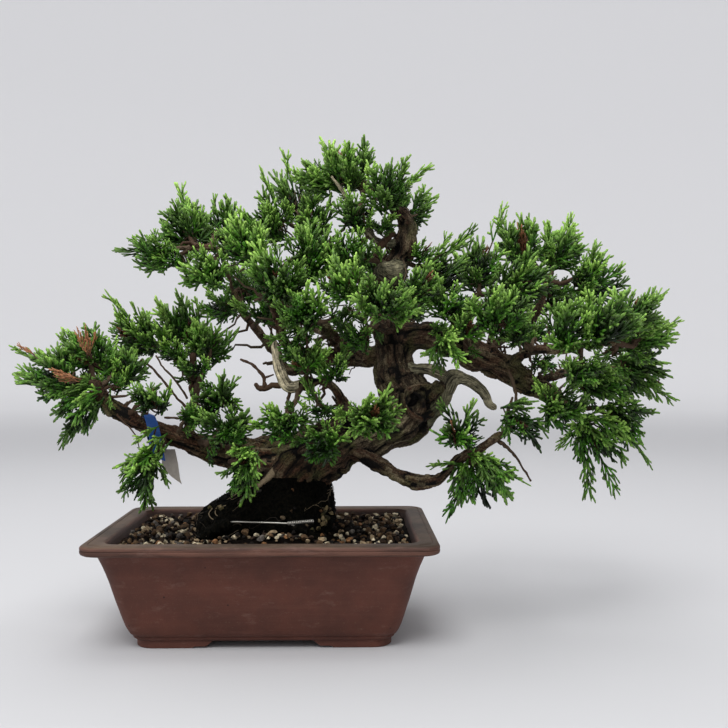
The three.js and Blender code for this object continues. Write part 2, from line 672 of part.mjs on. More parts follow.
function makeTree(twigs) {
  const limbs = [...Object.values(liveLimbs), ...Object.values(deadLimbs)];
  return toGeometry(joinSolids([
    limbSolid(trunkLine, { sides: trunkSides, perSpan: 1, waves: 0.035 }),
    ...limbs.map((knots) => limbSolid(knots, limbShape(knots))),
    ...roots.map((knots) => limbSolid(knots, { sides: rootSides, perSpan: 1 })),
    ...twigs.map(({ from, to, radius }) => prism(from, to, radius * 1.3, radius, stem.sides)),
  ]), 0.25);
}

// The foot of the tree, a touching gap larger all round, to cut its hole in the mound
function treeFootGrown() {
  const grown = (knots, shape) => limbSolid(knots, { ...shape, perSpan: 1, grow: touchGap });
  return joinSolids([
    grown(trunkLine.slice(0, 7), { sides: trunkSides, waves: 0.035 }),
    grown(liveLimbs.lowLeft.slice(0, 5), { sides: limbSides }),
    grown(liveLimbs.lowRight.slice(0, 4), { sides: limbSides }),
    ...roots.map((knots) => grown(knots, { sides: rootSides })),
  ]);
}

// A clump: a core of flat faces, with a branchlet of three arms standing out of the middle of each face
// and reaching the clump's full width. A face whose branchlet would touch another spray stays plain.
function clumpSolid(clump, seed) {
  const corners = [new THREE.Vector3(0, 0, 1), new THREE.Vector3(0, 0, -1)];
  const coreSides = clump.half.x > wideClump ? 5 : 4;
  for (let side = 0; side < coreSides; side++) {
    const angle = ((side + 0.3 * fixedRandom(seed, side)) / coreSides) * Math.PI * 2;
    const tilt = 0.3 * (fixedRandom(seed, side, 1) - 0.5);
    corners.push(new THREE.Vector3(Math.cos(angle), Math.sin(angle), tilt));
  }
  const spin = new THREE.Euler(fixedRandom(seed, 1) * 0.9, fixedRandom(seed, 2) * 0.9, seed * 2.4);
  const half = clump.half;
  for (const corner of corners) {
    corner.applyEuler(spin).multiply(half).multiplyScalar(clump.share).add(clump.centre);
  }
  const points = [...corners];
  const faces = [];
  for (let side = 0; side < coreSides; side++) {
    const a = 2 + side;
    const b = 2 + ((side + 1) % coreSides);
    for (const face of [[0, a, b], [1, b, a]]) {
      growBranchlet(clump, face, points, faces, seed + points.length * 0.13);
    }
  }
  const geometry = new THREE.BufferGeometry().setFromPoints(points);
  geometry.setIndex(faces);
  return toSolid(geometry);
}

function growBranchlet(clump, face, points, faces, seed) {
  const [a, b, c] = face.map((index) => points[index]);
  const middle = a.clone().add(b).add(c).divideScalar(3);
  const outward = middle.clone().sub(clump.centre).divide(clump.half).normalize();
  const facing = b.clone().sub(a).cross(c.clone().sub(a)).normalize();
  const ahead = outward.clone().multiply(clump.half).addScaledVector(facing, clump.half.z).normalize();
  const full = clump.centre.clone().add(outward.multiply(clump.half));
  for (const share of [1, 0.8, 0.6]) {
    const length = middle.distanceTo(full) * branchlet.longest * share;
    const rim = [a, b, c].map((corner) => (
      middle.clone().addScaledVector(corner.clone().sub(middle).normalize(), branchlet.radius)
    ));
    const crotch = middle.clone().addScaledVector(ahead, length * branchlet.crotch);
    const tips = [0, 1, 2].map((side) => {
      const sideways = rim[side].clone().add(rim[(side + 1) % 3]).sub(middle).sub(middle).normalize();
      const arm = length * THREE.MathUtils.lerp(branchlet.shortest, 1, fixedRandom(seed, side, 5));
      const tip = middle.clone().addScaledVector(ahead, arm * Math.cos(branchlet.spread));
      tip.addScaledVector(sideways, arm * Math.sin(branchlet.spread));
      tip.z += arm * branchlet.upward;
      return tip;
    });
    const radius = branchlet.radius;
    const arms = tips.map((tip) => ({ owner: clump.spray, from: middle, to: tip, radius }));
    if (arms.every((arm) => clearOfCores(arm, clump.spray) && clearOfPlaced(arm, [clump.spray]))) {
      placed.push(...arms);
      const first = points.length;
      points.push(...rim, crotch, ...tips);
      for (let side = 0; side < 3; side++) {
        const next = (side + 1) % 3;
        faces.push(face[side], face[next], first + side, face[next], first + next, first + side);
        faces.push(first + side, first + next, first + 4 + side);
        faces.push(first + next, first + 3, first + 4 + side);
        faces.push(first + 3, first + side, first + 4 + side);
      }
      return;
    }
  }
  faces.push(...face);
}

// The stems of a spray: the first clump hangs on the tree, each further one on the clump before it.
function stemSpray(spray, samples) {
  const own = clumps.filter((clump) => clump.spray === spray);
  const { twig, green } = feedClump(own[0], samples);
  const stems = [green];
  for (let index = 1; index < own.length; index++) {
    stems.push({ owner: spray, from: own[index - 1].centre, to: own[index].centre, radius: stem.radius });
  }
  placed.push(...stems.slice(1));
  return { twig, stems };
}

function makeSpray(spray, stems, seed) {
  const own = clumps.filter((clump) => clump.spray === spray);
  return toGeometry(joinSolids([
    ...stems.map(({ from, to, radius }) => prism(from, to, radius, radius, stem.sides)),
    ...own.map((clump, index) => clumpSolid(clump, seed + index * 0.37)),
  ]));
}

// The whole model
const materials = {
  stoneware: new THREE.MeshStandardMaterial({ color: 0x6b3a2e, roughness: 0.75, metalness: 0 }),
  pumice: new THREE.MeshStandardMaterial({ color: 0xa08a6c, roughness: 0.95, metalness: 0 }),
  muck: new THREE.MeshStandardMaterial({ color: 0x2a231d, roughness: 0.95, metalness: 0 }),
  bark: new THREE.MeshStandardMaterial({ color: 0x6e4f3a, roughness: 0.9, metalness: 0 }),
  foliage: new THREE.MeshStandardMaterial({ color: 0x4f6f2f, roughness: 0.7, metalness: 0 }),
  wire: new THREE.MeshStandardMaterial({ color: 0xb9b4ab, roughness: 0.4, metalness: 0.9 }),
  mesh: new THREE.MeshStandardMaterial({ color: 0x1d1f22, roughness: 0.7, metalness: 0 }),
  blueBand: new THREE.MeshStandardMaterial({ color: 0x2f55a8, roughness: 0.6, metalness: 0 }),
  paleTail: new THREE.MeshStandardMaterial({ color: 0xb3a995, roughness: 0.7, metalness: 0 }),
};

const model = new THREE.Group();

function addPiece(name, geometry, material) {
  const mesh = new THREE.Mesh(geometry, material);
  mesh.name = name;
  model.add(mesh);
}

const feeding = [];
feeding.push(...keepLimb("tree", trunkLine.slice(5), 2));
Object.values(liveLimbs).forEach((knots) => feeding.push(...keepLimb("tree", knots, 2)));
Object.values(deadLimbs).forEach((knots) => keepLimb("tree", knots, 2));
keepLimb("tree", trunkLine.slice(0, 6), 1);
keepLimb("tag", tagSpace, 1);
fitCores();

const stemmed = Object.keys(sprays).map((spray) => ({ spray, ...stemSpray(spray, feeding) }));

addPiece("pot", makePot(), materials.stoneware);
addPiece("soil", makeSoil(), materials.pumice);
addPiece("mound", makeMound(treeFootGrown()), materials.muck);
addPiece("tree", makeTree(stemmed.map(({ twig }) => twig)), materials.bark);
addPiece("tie_wire", toGeometry(wireSolid()), materials.wire);
addPiece("screen_left", makeScreen(-1), materials.mesh);
addPiece("screen_right", makeScreen(1), materials.mesh);
addPiece("tag_band", makeTagBand(), materials.blueBand);
addPiece("tag_tail", makeTagTail(), materials.paleTail);
stemmed.forEach(({ spray, stems }, index) => {
  addPiece(`spray_${spray}`, makeSpray(spray, stems, index + 1), materials.foliage);
});

const wholeBox = new THREE.Box3().setFromObject(model);
const boxMiddle = wholeBox.getCenter(new THREE.Vector3());
model.position.set(-boxMiddle.x, -boxMiddle.y, -wholeBox.min.z);
const bonsai = new THREE.Group();
bonsai.add(model);

export default bonsai;
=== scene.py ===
# Chinese juniper bonsai in an unglazed stoneware pot.
# Until a mesh is made, lengths are millimetres about the middle of the pot's foot, as in the part's source.
import itertools
import math

import bmesh
import bpy
import numpy as np
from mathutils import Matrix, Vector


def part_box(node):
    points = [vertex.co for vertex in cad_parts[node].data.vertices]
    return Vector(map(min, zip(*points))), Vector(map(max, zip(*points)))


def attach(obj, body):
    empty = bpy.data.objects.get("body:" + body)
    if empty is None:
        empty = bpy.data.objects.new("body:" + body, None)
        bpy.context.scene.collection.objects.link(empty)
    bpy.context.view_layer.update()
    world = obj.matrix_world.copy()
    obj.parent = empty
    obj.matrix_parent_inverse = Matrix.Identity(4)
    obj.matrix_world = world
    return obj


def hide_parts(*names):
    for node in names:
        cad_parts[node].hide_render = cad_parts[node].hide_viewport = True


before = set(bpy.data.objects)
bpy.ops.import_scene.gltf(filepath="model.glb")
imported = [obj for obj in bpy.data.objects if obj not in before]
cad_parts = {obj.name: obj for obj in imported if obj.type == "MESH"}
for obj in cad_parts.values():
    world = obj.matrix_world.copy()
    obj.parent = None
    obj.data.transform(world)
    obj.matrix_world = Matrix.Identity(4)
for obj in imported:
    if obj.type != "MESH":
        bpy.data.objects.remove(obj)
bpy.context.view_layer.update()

potLow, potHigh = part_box("pot")
potMiddle = np.array([(potLow.x + potHigh.x) / 2, (potLow.y + potHigh.y) / 2, 0.0])
print("frame loaded:", len(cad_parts), "nodes")

# The wood. Each limb is a list of [x, y, z, radius] along its middle, as the part's source has it.
trunkLine = [
    [7, 0, 52, 10], [9, 0, 66, 14], [14, 0, 79, 17], [30, -2, 89, 14], [48, -4, 96.5, 12.2],
    [64, -5, 103.5, 13.6], [70, -4, 111, 14.2], [65, -2, 121, 11], [63, 0, 129, 9.8],
    [63.5, 3, 137, 10.2], [62, 4, 146, 9.2], [60, 5, 155, 8.4], [58, 5, 167, 7.6], [60, 3, 177, 7],
    [65, 1, 185, 6.6], [68, 0, 194, 6], [69, 0, 203, 4.8], [63, 0, 211, 3.8], [54, 2, 218, 3],
    [45, 2, 223, 2.3],
]
liveLimbs = {
    "lowLeft": [
        [24, 0, 84, 13.5], [1, 0, 84, 12], [-16, -3, 87, 8.4], [-30, -8, 91, 5.9], [-42, -13, 95, 5.1],
        [-56, -18, 101, 4.8], [-67, -23, 107, 4.2], [-75, -27, 115, 3.6], [-79, -30, 123, 2.5],
    ],
    "lowLeftRiser": [
        [-38, -10, 94, 3.4], [-39, -6, 105, 2.3], [-38, 2, 116, 3], [-41, 10, 126, 3.3],
        [-49, 16, 135, 2.4],
    ],
    "midLeft": [
        [60, 5, 137, 6], [47, 10, 135, 4.8], [32, 16, 134, 3.8], [19, 20, 131, 3.3], [8, 24, 129, 3.3],
        [1, 26, 138, 2.9], [-7, 28, 147, 2.5], [-16, 30, 158, 2.1], [-22, 30, 170, 1.8],
    ],
    "upperLeft": [
        [38, 13, 136, 4], [29, 5, 136, 3.2], [17, -5, 137, 2.7], [9, -10, 141, 2.5], [6, -14, 150, 2.4],
        [2, -18, 162, 2.2], [-4, -16, 177, 2], [-11, -12, 184, 1.8], [-24, -9, 188, 1.6],
        [-37, -8, 190, 1.4],
    ],
    "rightMain": [
        [63, 3, 145, 8], [78, 0, 146, 7.4], [92, -3, 142, 7.2], [105, -6, 135, 7], [118, -8, 129, 6.6],
        [130, -7, 122, 5.6], [142, -3, 116, 4], [154, 3, 109, 2.8],
    ],
    "rightRiser": [
        [105, -6, 136, 3], [119, 10, 144, 2.5], [133, 20, 149, 2.2], [142, 26, 163, 1.9],
        [146, 27, 176, 1.6],
    ],
    "rightFar": [
        [118, -9, 130, 2.8], [128, -20, 138, 2.2], [143, -28, 139, 1.9], [155, -32, 141, 1.7],
        [167, -28, 142, 1.5],
    ],
    "rightNear": [[91, -3, 143, 3], [101, 12, 156, 2.2], [108, 18, 168, 1.8]],
    "rightLow": [[131, -7, 122, 2.8], [151, 10, 127, 2.1], [169, 20, 130, 1.7]],
    "lowRight": [
        [34, -6, 92, 6], [44, -12, 88, 4.8], [54, -16, 83, 4.1], [64, -19, 78, 3.8], [74, -22, 75, 3.3],
        [82, -23, 76, 2.9], [92, -24, 85, 2.5], [104, -24, 92, 2], [114, -21, 98, 1.7],
    ],
    "archLeft": [
        [43, -10, 96, 3.6], [38, -16, 110, 2.8], [33, -18, 120, 2.6], [27, -20, 124, 2.7],
        [18, -22, 122, 2.9],
    ],
    "crownLeft": [[59, 5, 170, 4], [42, 16, 178, 3], [26, 18, 192, 2.4], [16, 17, 203, 2]],
    "front": [[61, 0, 151, 4], [56, -26, 152, 2.8], [53, -46, 154, 2]],
    "frontLeft": [[40, 12, 136, 3.6], [34, -6, 143, 2.8], [30, -18, 148, 2.4], [22, -28, 154, 2]],
    "back": [[62, 6, 141, 4.2], [68, 30, 150, 3], [73, 50, 158, 2.2]],
    "backLeft": [[46, 8, 135, 3.4], [30, 36, 147, 2.6], [14, 54, 155, 2]],
    "backRight": [[93, -2, 141, 3.4], [108, 30, 150, 2.6], [124, 50, 158, 2]],
}
deadLimbs = {
    "leftStub": [
        [21, -21, 123, 2.8], [11, -22, 121, 2.9], [7, -23, 128, 2.6], [5, -23, 136, 2.3],
        [4, -23, 143, 1.8],
    ],
    "rightArm": [
        [78, -9, 106, 5.5], [85, -12, 112.5, 4.2], [88, -13, 120, 4.6], [91, -13, 125, 4.2],
        [97, -13, 124.3, 3.3], [103, -13, 121, 3.1], [107.2, -13, 116.5, 2.8], [108.6, -13, 112.5, 2.2],
        [112, -13, 110, 1.3],
    ],
    "rightArmLoop": [[66, -3, 130, 4], [72, -6, 129.3, 3.2], [78, -9, 129.3, 2.9], [86, -12, 127, 3.4]],
    "top": [
        [68, 0, 193, 3], [58, -4, 192, 2.4], [51, -6, 195, 2], [43, -8, 206, 1.5], [37, -8, 217, 1.2],
        [31, -8, 225, 0.8],
    ],
    "topFork": [[52, -6, 195, 1.6], [50, -5, 203, 1.3], [49, -4, 209, 0.9]],
    "knob": [[65, -2, 178, 6.5], [59, -9, 177, 5.5], [55, -12, 179, 4]],
}
roots = [
    [[9, 0, 62, 8], [-5, -7, 50, 5], [-16, -12, 34, 2.6]],
    [[10, 0, 62, 8], [16, -12, 48, 5], [18, -16, 32, 2.4]],
    [[9, 0, 62, 8], [18, 10, 50, 5], [22, 14, 34, 2.6]],
    [[8, 0, 62, 8], [-3, 12, 48, 5], [-8, 17, 32, 2.4]],
]

# Foliage. Each spray holds one or more clumps: [x, y, z, half width, half height].
sprays = {
    "low_left_tip": [[-99, -27, 127, 15, 12]],
    "low_left_crest": [[-87, -18, 138, 15, 11]],
    "low_left_under": [[-86, -30, 112, 14, 13]],
    "left_shelf_end": [[-68, 6, 146, 16, 12], [-70, -16, 130, 14, 9]],
    "left_shelf": [[-49, 22, 153, 15, 12], [-29, 36, 164, 13, 11], [-34, 10, 142, 13, 10]],
    "upper_left_end": [[-57, -14, 187, 13, 9]],
    "upper_left_crest": [[-43, 6, 202, 15, 12]],
    "upper_left_inner": [[-26, 16, 206, 13, 12]],
    "upper_left_under": [[-28, -27, 176, 13, 10]],
    "crown_left_end": [[-2, 8, 207, 13, 12]],
    "crown_left": [[11, 27, 220, 12, 13]],
    "crown_left_under": [[-11, -22, 190, 13, 11]],
    "crown_tip": [[38, 1, 231, 16, 12], [23, 6, 228, 10, 10]],
    "crown_right": [[60, -15, 219, 13, 11], [73, 12, 213, 10, 11]],
    "crown_middle": [[43, -14, 206, 12, 9], [22, 6, 207, 11, 9]],
    "middle_left": [[7, -37, 173, 14, 13]],
    "middle_upper": [[22, -24, 187, 13, 12]],
    "middle_front": [[18, -46, 157, 13, 11]],
    "middle_right": [[41, -25, 186, 12, 9]],
    "middle_low": [[38, -47, 170, 13, 10]],
    "middle_inner": [[43, -30, 146, 10, 8], [13, -30, 138, 9, 7]],
    "front_clump": [[56, -62, 160, 15, 10]],
    "front_right": [[74, -27, 170, 11, 10], [90, -24, 162, 11, 9]],
    "low_left_inner": [[-23, -30, 118, 12, 10], [-17, -43, 103, 13, 10]],
    "low_left_tuft": [[-54, -35, 116, 12, 8]],
    "low_left_drop": [[-57, -36, 81, 10, 14]],
    "middle_drop": [[-9, -45, 84, 9, 13]],
    "mound_left": [[9, -40, 104, 14, 9]],
    "mound_right": [[27, -44, 95, 13, 10]],
    "trunk_front": [[50, -53, 109, 14, 11]],
    "arch_tuft": [[20, -38, 133, 10, 7], [33, -36, 129, 9, 7]],
    "hanging_tuft": [[85, -34, 140, 9, 13]],
    "right_crest_inner": [[88, 6, 178, 12, 12]],
    "right_crest_middle": [[110, 24, 184, 13, 13]],
    "right_top": [[134, 32, 197, 15, 13], [155, 35, 194, 13, 12]],
    "right_top_under": [[130, 4, 174, 15, 12]],
    "right_upper_end": [[170, 18, 176, 15, 13]],
    "right_end": [[176, -26, 156, 16, 10], [188, -12, 145, 14, 12]],
    "right_end_under": [[193, 18, 126, 15, 14]],
    "right_middle": [[159, -46, 152, 14, 12]],
    "right_front": [[140, -47, 149, 13, 12]],
    "right_low": [[167, -2, 121, 15, 12]],
    "right_low_inner": [[142, -27, 112, 12, 12], [147, -44, 129, 12, 7]],
    "right_drop": [[165, -6, 93, 15, 14], [180, -4, 104, 13, 11]],
    "right_inner": [[110, -36, 157, 14, 11]],
    "right_under": [[123, -31, 104, 11, 13]],
    "low_right": [[93, -36, 100, 13, 11]],
    "low_right_end": [[104, -26, 77, 16, 11]],
    "back_middle": [[73, 64, 168, 16, 12], [58, 48, 188, 14, 11]],
    "back_left": [[2, 64, 163, 16, 11], [-16, 44, 176, 14, 11]],
    "back_right": [[133, 62, 167, 16, 12], [152, 38, 170, 13, 11]],
}


# Vectors and noise
def unit(vectors):
    vectors = np.asarray(vectors, float)
    return vectors / np.maximum(np.linalg.norm(vectors, axis=-1, keepdims=True), 1e-9)


def crossPair(direction):
    # two unit vectors square to a direction and to each other
    level = np.array([0.0, 0.0, 1.0]) if abs(direction[2]) < 0.9 else np.array([1.0, 0.0, 0.0])
    side = unit(np.cross(direction, level))
    return side, np.cross(side, direction)


def smoothNoise(points, seed=0):
    # values from 0 to 1 that change smoothly over about one unit of length
    points = np.asarray(points, float)
    cell = np.floor(points).astype(np.int64)
    share = points - cell
    share = share * share * (3 - 2 * share)
    total = np.zeros(len(points))
    for corner in itertools.product((0, 1), repeat=3):
        at = cell + corner
        number = at[:, 0] * 73856093 ^ at[:, 1] * 19349663 ^ at[:, 2] * 83492791 ^ (seed + 1) * 50331653
        number = (number ^ (number >> 13)) * 1274126177 & 0xFFFFFFFF
        number = (number ^ (number >> 15)) * 668265263 & 0xFFFFFFFF
        weight = np.prod(np.where(np.array(corner) == 1, share, 1 - share), axis=1)
        total += weight * ((number >> 8) & 0xFFFF) / 65535
    return total


def smoothLine(knots, spacing):
    # a centripetal spline through knots, as points about spacing apart; radii run straight between knots
    knots = np.array(knots, float)
    places = knots[:, :3]
    ends = np.vstack([2 * places[0] - places[1], places, 2 * places[-1] - places[-2]])
    points, radii = [], []
    for span in range(len(knots) - 1):
        before, start, end, after = ends[span:span + 4]
        steps = ((before, start), (start, end), (end, after))
        gaps = [max(np.linalg.norm(b - a), 1e-6) ** 0.5 for a, b in steps]
        leave = (start - before) / gaps[0] - (end - before) / (gaps[0] + gaps[1]) + (end - start) / gaps[1]
        arrive = (end - start) / gaps[1] - (after - start) / (gaps[1] + gaps[2]) + (after - end) / gaps[2]
        leave, arrive = leave * gaps[1], arrive * gaps[1]
        steps = max(2, round(np.linalg.norm(end - start) / spacing))
        for step in range(steps + (span == len(knots) - 2)):
            t = step / steps
            points.append((2 * t**3 - 3 * t**2 + 1) * start + (t**3 - 2 * t**2 + t) * leave
                          + (3 * t**2 - 2 * t**3) * end + (t**3 - t**2) * arrive)
            radii.append(knots[span, 3] + (knots[span + 1, 3] - knots[span, 3]) * t)
    return np.array(points), np.array(radii)


def carriedFrames(line):
    # for each point of a line: the way ahead, and two vectors square to it that never spin round it
    ahead = unit(np.gradient(line, axis=0))
    across = [crossPair(ahead[0])[0]]
    for direction in ahead[1:]:
        last = across[-1]
        across.append(unit(last - direction * np.dot(last, direction)))
    across = np.array(across)
    return ahead, across, np.cross(ahead, across)


def lofted(rings, ends=None):
    # triangles between rings of equal length, and a fan over each end, drawn to its middle or a given point
    count, sides = len(rings), len(rings[0])
    ends = [rings[0].mean(0), rings[-1].mean(0)] if ends is None else ends
    ring, side = np.meshgrid(np.arange(count - 1), np.arange(sides), indexing="ij")
    a = (ring * sides + side).ravel()
    b = (ring * sides + (side + 1) % sides).ravel()
    side = np.arange(sides)
    after = (side + 1) % sides
    last = (count - 1) * sides
    triangles = np.vstack([
        np.stack([a, b, b + sides], 1), np.stack([a, b + sides, a + sides], 1),
        np.stack([np.full(sides, count * sides), after, side], 1),
        np.stack([np.full(sides, count * sides + 1), last + side, last + after], 1),
    ])
    return np.vstack([*rings, ends]), triangles


def tube(line, radii, sides, turn=0.0):
    # a closed tube along a line, as points and triangles
    line, radii = np.asarray(line, float), np.broadcast_to(radii, len(line))
    ahead, across, up = carriedFrames(line)
    angles = np.arange(sides) / sides * 2 * math.pi + turn
    rings = (line[:, None] + radii[:, None, None] * (np.cos(angles)[None, :, None] * across[:, None]
                                                     + np.sin(angles)[None, :, None] * up[:, None]))
    return lofted(rings, [line[0] - ahead[0] * radii[0] * 0.4, line[-1] + ahead[-1] * radii[-1] * 0.6])


class Parts:
    # gathers points, faces, a row of four values for each point and a material number for each face
    def __init__(self):
        self.points, self.faces, self.values, self.materials = [], [], [], []
        self.count = self.triangles = 0

    def add(self, points, faces, values=(0, 0, 0, 0), material=0):
        self.points.append(points)
        self.faces.append(np.asarray(faces) + self.count)
        self.values.append(np.broadcast_to(values, (len(points), 4)))
        self.materials.append(np.broadcast_to(material, len(faces)))
        self.count += len(points)
        self.triangles += len(faces)

    def shape(self):
        return np.vstack(self.points), np.vstack(self.faces)


# Meshes
def toMetres(points):
    return np.asarray(points, float) * 0.001 + potMiddle


def addPiece(name, parts, materials, replaced=(), sharp=None):
    # one mesh piece from parts in millimetres, whose values become the attribute growth
    mesh = bpy.data.meshes.new(name)
    points, faces = parts.shape()
    mesh.vertices.add(len(points))
    mesh.vertices.foreach_set("co", toMetres(points).astype(np.float32).ravel())
    mesh.loops.add(faces.size)
    mesh.loops.foreach_set("vertex_index", faces.astype(np.int32).ravel())
    mesh.polygons.add(len(faces))
    mesh.polygons.foreach_set("loop_start", np.arange(0, faces.size, faces.shape[1], dtype=np.int32))
    for material in materials:
        mesh.materials.append(material)
    mesh.polygons.foreach_set("material_index", np.concatenate(parts.materials).astype(np.int32))
    layer = mesh.attributes.new("growth", "FLOAT_COLOR", "POINT")
    layer.data.foreach_set("color", np.vstack(parts.values).astype(np.float32).ravel())
    mesh.update(calc_edges=True)
    mesh.shade_smooth()
    if sharp is not None:
        mesh.set_sharp_from_angle(angle=math.radians(sharp))
    piece = bpy.data.objects.new(name, mesh)
    bpy.context.scene.collection.objects.link(piece)
    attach(piece, "root")
    if replaced:
        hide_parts(*replaced)
    return piece


def temporaryObject(name, points, faces):
    mesh = bpy.data.meshes.new(name)
    mesh.from_pydata(points.tolist(), [], faces.tolist())
    made = bpy.data.objects.new(name, mesh)
    bpy.context.scene.collection.objects.link(made)
    return made


def readBack(body, corners, spare=()):
    # the points and faces that an object's modifiers give; it goes then, with the spare objects
    seen = body.evaluated_get(bpy.context.evaluated_depsgraph_get())
    mesh = seen.to_mesh()
    if corners == 3:
        mesh.calc_loop_triangles()
    sides = mesh.loop_triangles if corners == 3 else mesh.polygons
    points = np.zeros(len(mesh.vertices) * 3)
    mesh.vertices.foreach_get("co", points)
    faces = np.zeros(len(sides) * corners, np.int32)
    sides.foreach_get("vertices", faces)
    seen.to_mesh_clear()
    for gone in [body, *spare]:
        bpy.data.objects.remove(gone)
    return points.reshape(-1, 3), faces.reshape(-1, corners)


# Materials
def linear(hexColour):
    shares = [int(hexColour[at:at + 2], 16) / 255 for at in (1, 3, 5)]
    return [c / 12.92 if c <= 0.04045 else ((c + 0.055) / 1.055) ** 2.4 for c in shares] + [1.0]


def newMaterial(name):
    material = bpy.data.materials.new(name)
    material.use_nodes = True
    material.node_tree.nodes.clear()
    return material


def addNode(material, kind, inputs={}, **settings):
    # an input is a plain value, a socket, or a node, whose first output is then taken
    node = material.node_tree.nodes.new("ShaderNode" + kind)
    for key, value in settings.items():
        setattr(node, key, value)
    for key, value in inputs.items():
        if isinstance(value, bpy.types.Node):
            value = value.outputs[0]
        if isinstance(value, bpy.types.NodeSocket):
            material.node_tree.links.new(value, node.inputs[key])
        else:
            node.inputs[key].default_value = value
    return node


def grownMaterial(name):
    # a new material, the place on the piece in metres and the four values that each of its points carries
    material = newMaterial(name)
    growth = addNode(material, "Attribute", attribute_name="growth")
    parts = addNode(material, "SeparateColor", {"Color": growth})
    place = addNode(material, "TexCoord").outputs["Object"]
    return material, place, [*parts.outputs, growth.outputs["Alpha"]]


def finished(material, surface, height=None, strength=0.5, distance=0.0003):
    # joins a shader with these inputs to the output, with a bump from height where there is one
    if height is not None:
        bump = addNode(material, "Bump", {"Height": height, "Strength": strength, "Distance": distance})
        surface = {**surface, "Normal": bump}
    addNode(material, "OutputMaterial", {"Surface": addNode(material, "BsdfPrincipled", surface)})
    return material


def perMillimetre(size):
    # a texture's scale, in metres, for features of that size in millimetres
    return 1000 / size


scaleLeafLook = {
    "shade": "#051102", "leaf": "#2a5212", "lit": "#4f8c23", "tip": "#a4cc5c", "dead": "#402315",
    "deadLit": "#a5704a", "roughness": 0.5, "patch": 3.0, "scale": 1.2,
}


def scaleLeafFoliage():
    # Waxy overlapping scale leaves: satin green, with painted shade inside the tree and its clumps and
    # painted light towards their tops and outsides; yellow-green at the growing tips, shown where the
    # painted light is high.
    look = scaleLeafLook
    material, place, values = grownMaterial("waxyScaleLeafFoliage")
    age, light, strength, deadness = values
    patch = addNode(material, "TexNoise", {"Vector": place, "Scale": perMillimetre(look["patch"]),
                                           "Detail": 2.0})
    patchShare = addNode(material, "MapRange", {"Value": patch, "From Min": 0.35, "From Max": 0.62})
    scales = addNode(material, "TexNoise", {"Vector": place, "Scale": perMillimetre(look["scale"]),
                                            "Detail": 2.0})
    # painted shade and light: the leaf colour runs from the shade colour by the light value each point
    # carries
    shaded = addNode(material, "MixRGB", {"Fac": light, "Color1": linear(look["shade"]),
                                          "Color2": linear(look["leaf"])})
    towardLit = addNode(material, "Math", {0: strength, 1: patchShare}, operation="MULTIPLY")
    lit = addNode(material, "MixRGB", {"Fac": towardLit, "Color1": shaded, "Color2": linear(look["lit"])})
    ripe = addNode(material, "Math", {0: age, 1: 2.2}, operation="POWER")
    vigour = addNode(material, "MapRange", {"Value": strength, "To Min": 0.3, "To Max": 1.15})
    strong = addNode(material, "Math", {0: ripe, 1: vigour}, operation="MULTIPLY")
    # the tips' yellow-green shows only as far as the painted light reaches
    tipShare = addNode(material, "Math", {0: strong, 1: light}, operation="MULTIPLY")
    tipped = addNode(material, "MixRGB", {"Fac": tipShare, "Color1": lit, "Color2": linear(look["tip"])})
    # dead sprigs: painted darker in shade and paler where lit
    dead = addNode(material, "MixRGB", {"Fac": light, "Color1": linear(look["dead"]),
                                        "Color2": linear(look["deadLit"])})
    colour = addNode(material, "MixRGB", {"Fac": deadness, "Color1": tipped, "Color2": dead})
    # painted shade and highlight on the scale leaves: darker between them and lighter on them, by the noise
    # of their bump
    reliefShade = addNode(material, "MapRange", {"Value": scales, "From Min": 0.36, "From Max": 0.64,
                                            "To Min": 0.55, "To Max": 1.4})
    scaleShaded = addNode(material, "VectorMath", {0: colour, "Scale": reliefShade}, operation="SCALE")
    return finished(material, {"Base Color": scaleShaded, "Roughness": look["roughness"],
                               "Specular IOR Level": 0.3}, scales, 0.5, 0.0003)


barkLook = {
    "crack": "#0a0705", "inner": "#30241a", "plate": "#574b3b", "ruddy": "#6e4029", "worn": "#928669",
    "red": "#50301f", "moss": "#565a33", "fibre": [0.8, 5.0], "flake": 2.6, "cloud": 14.0, "speck": 0.9,
    "roughness": 0.92,
}


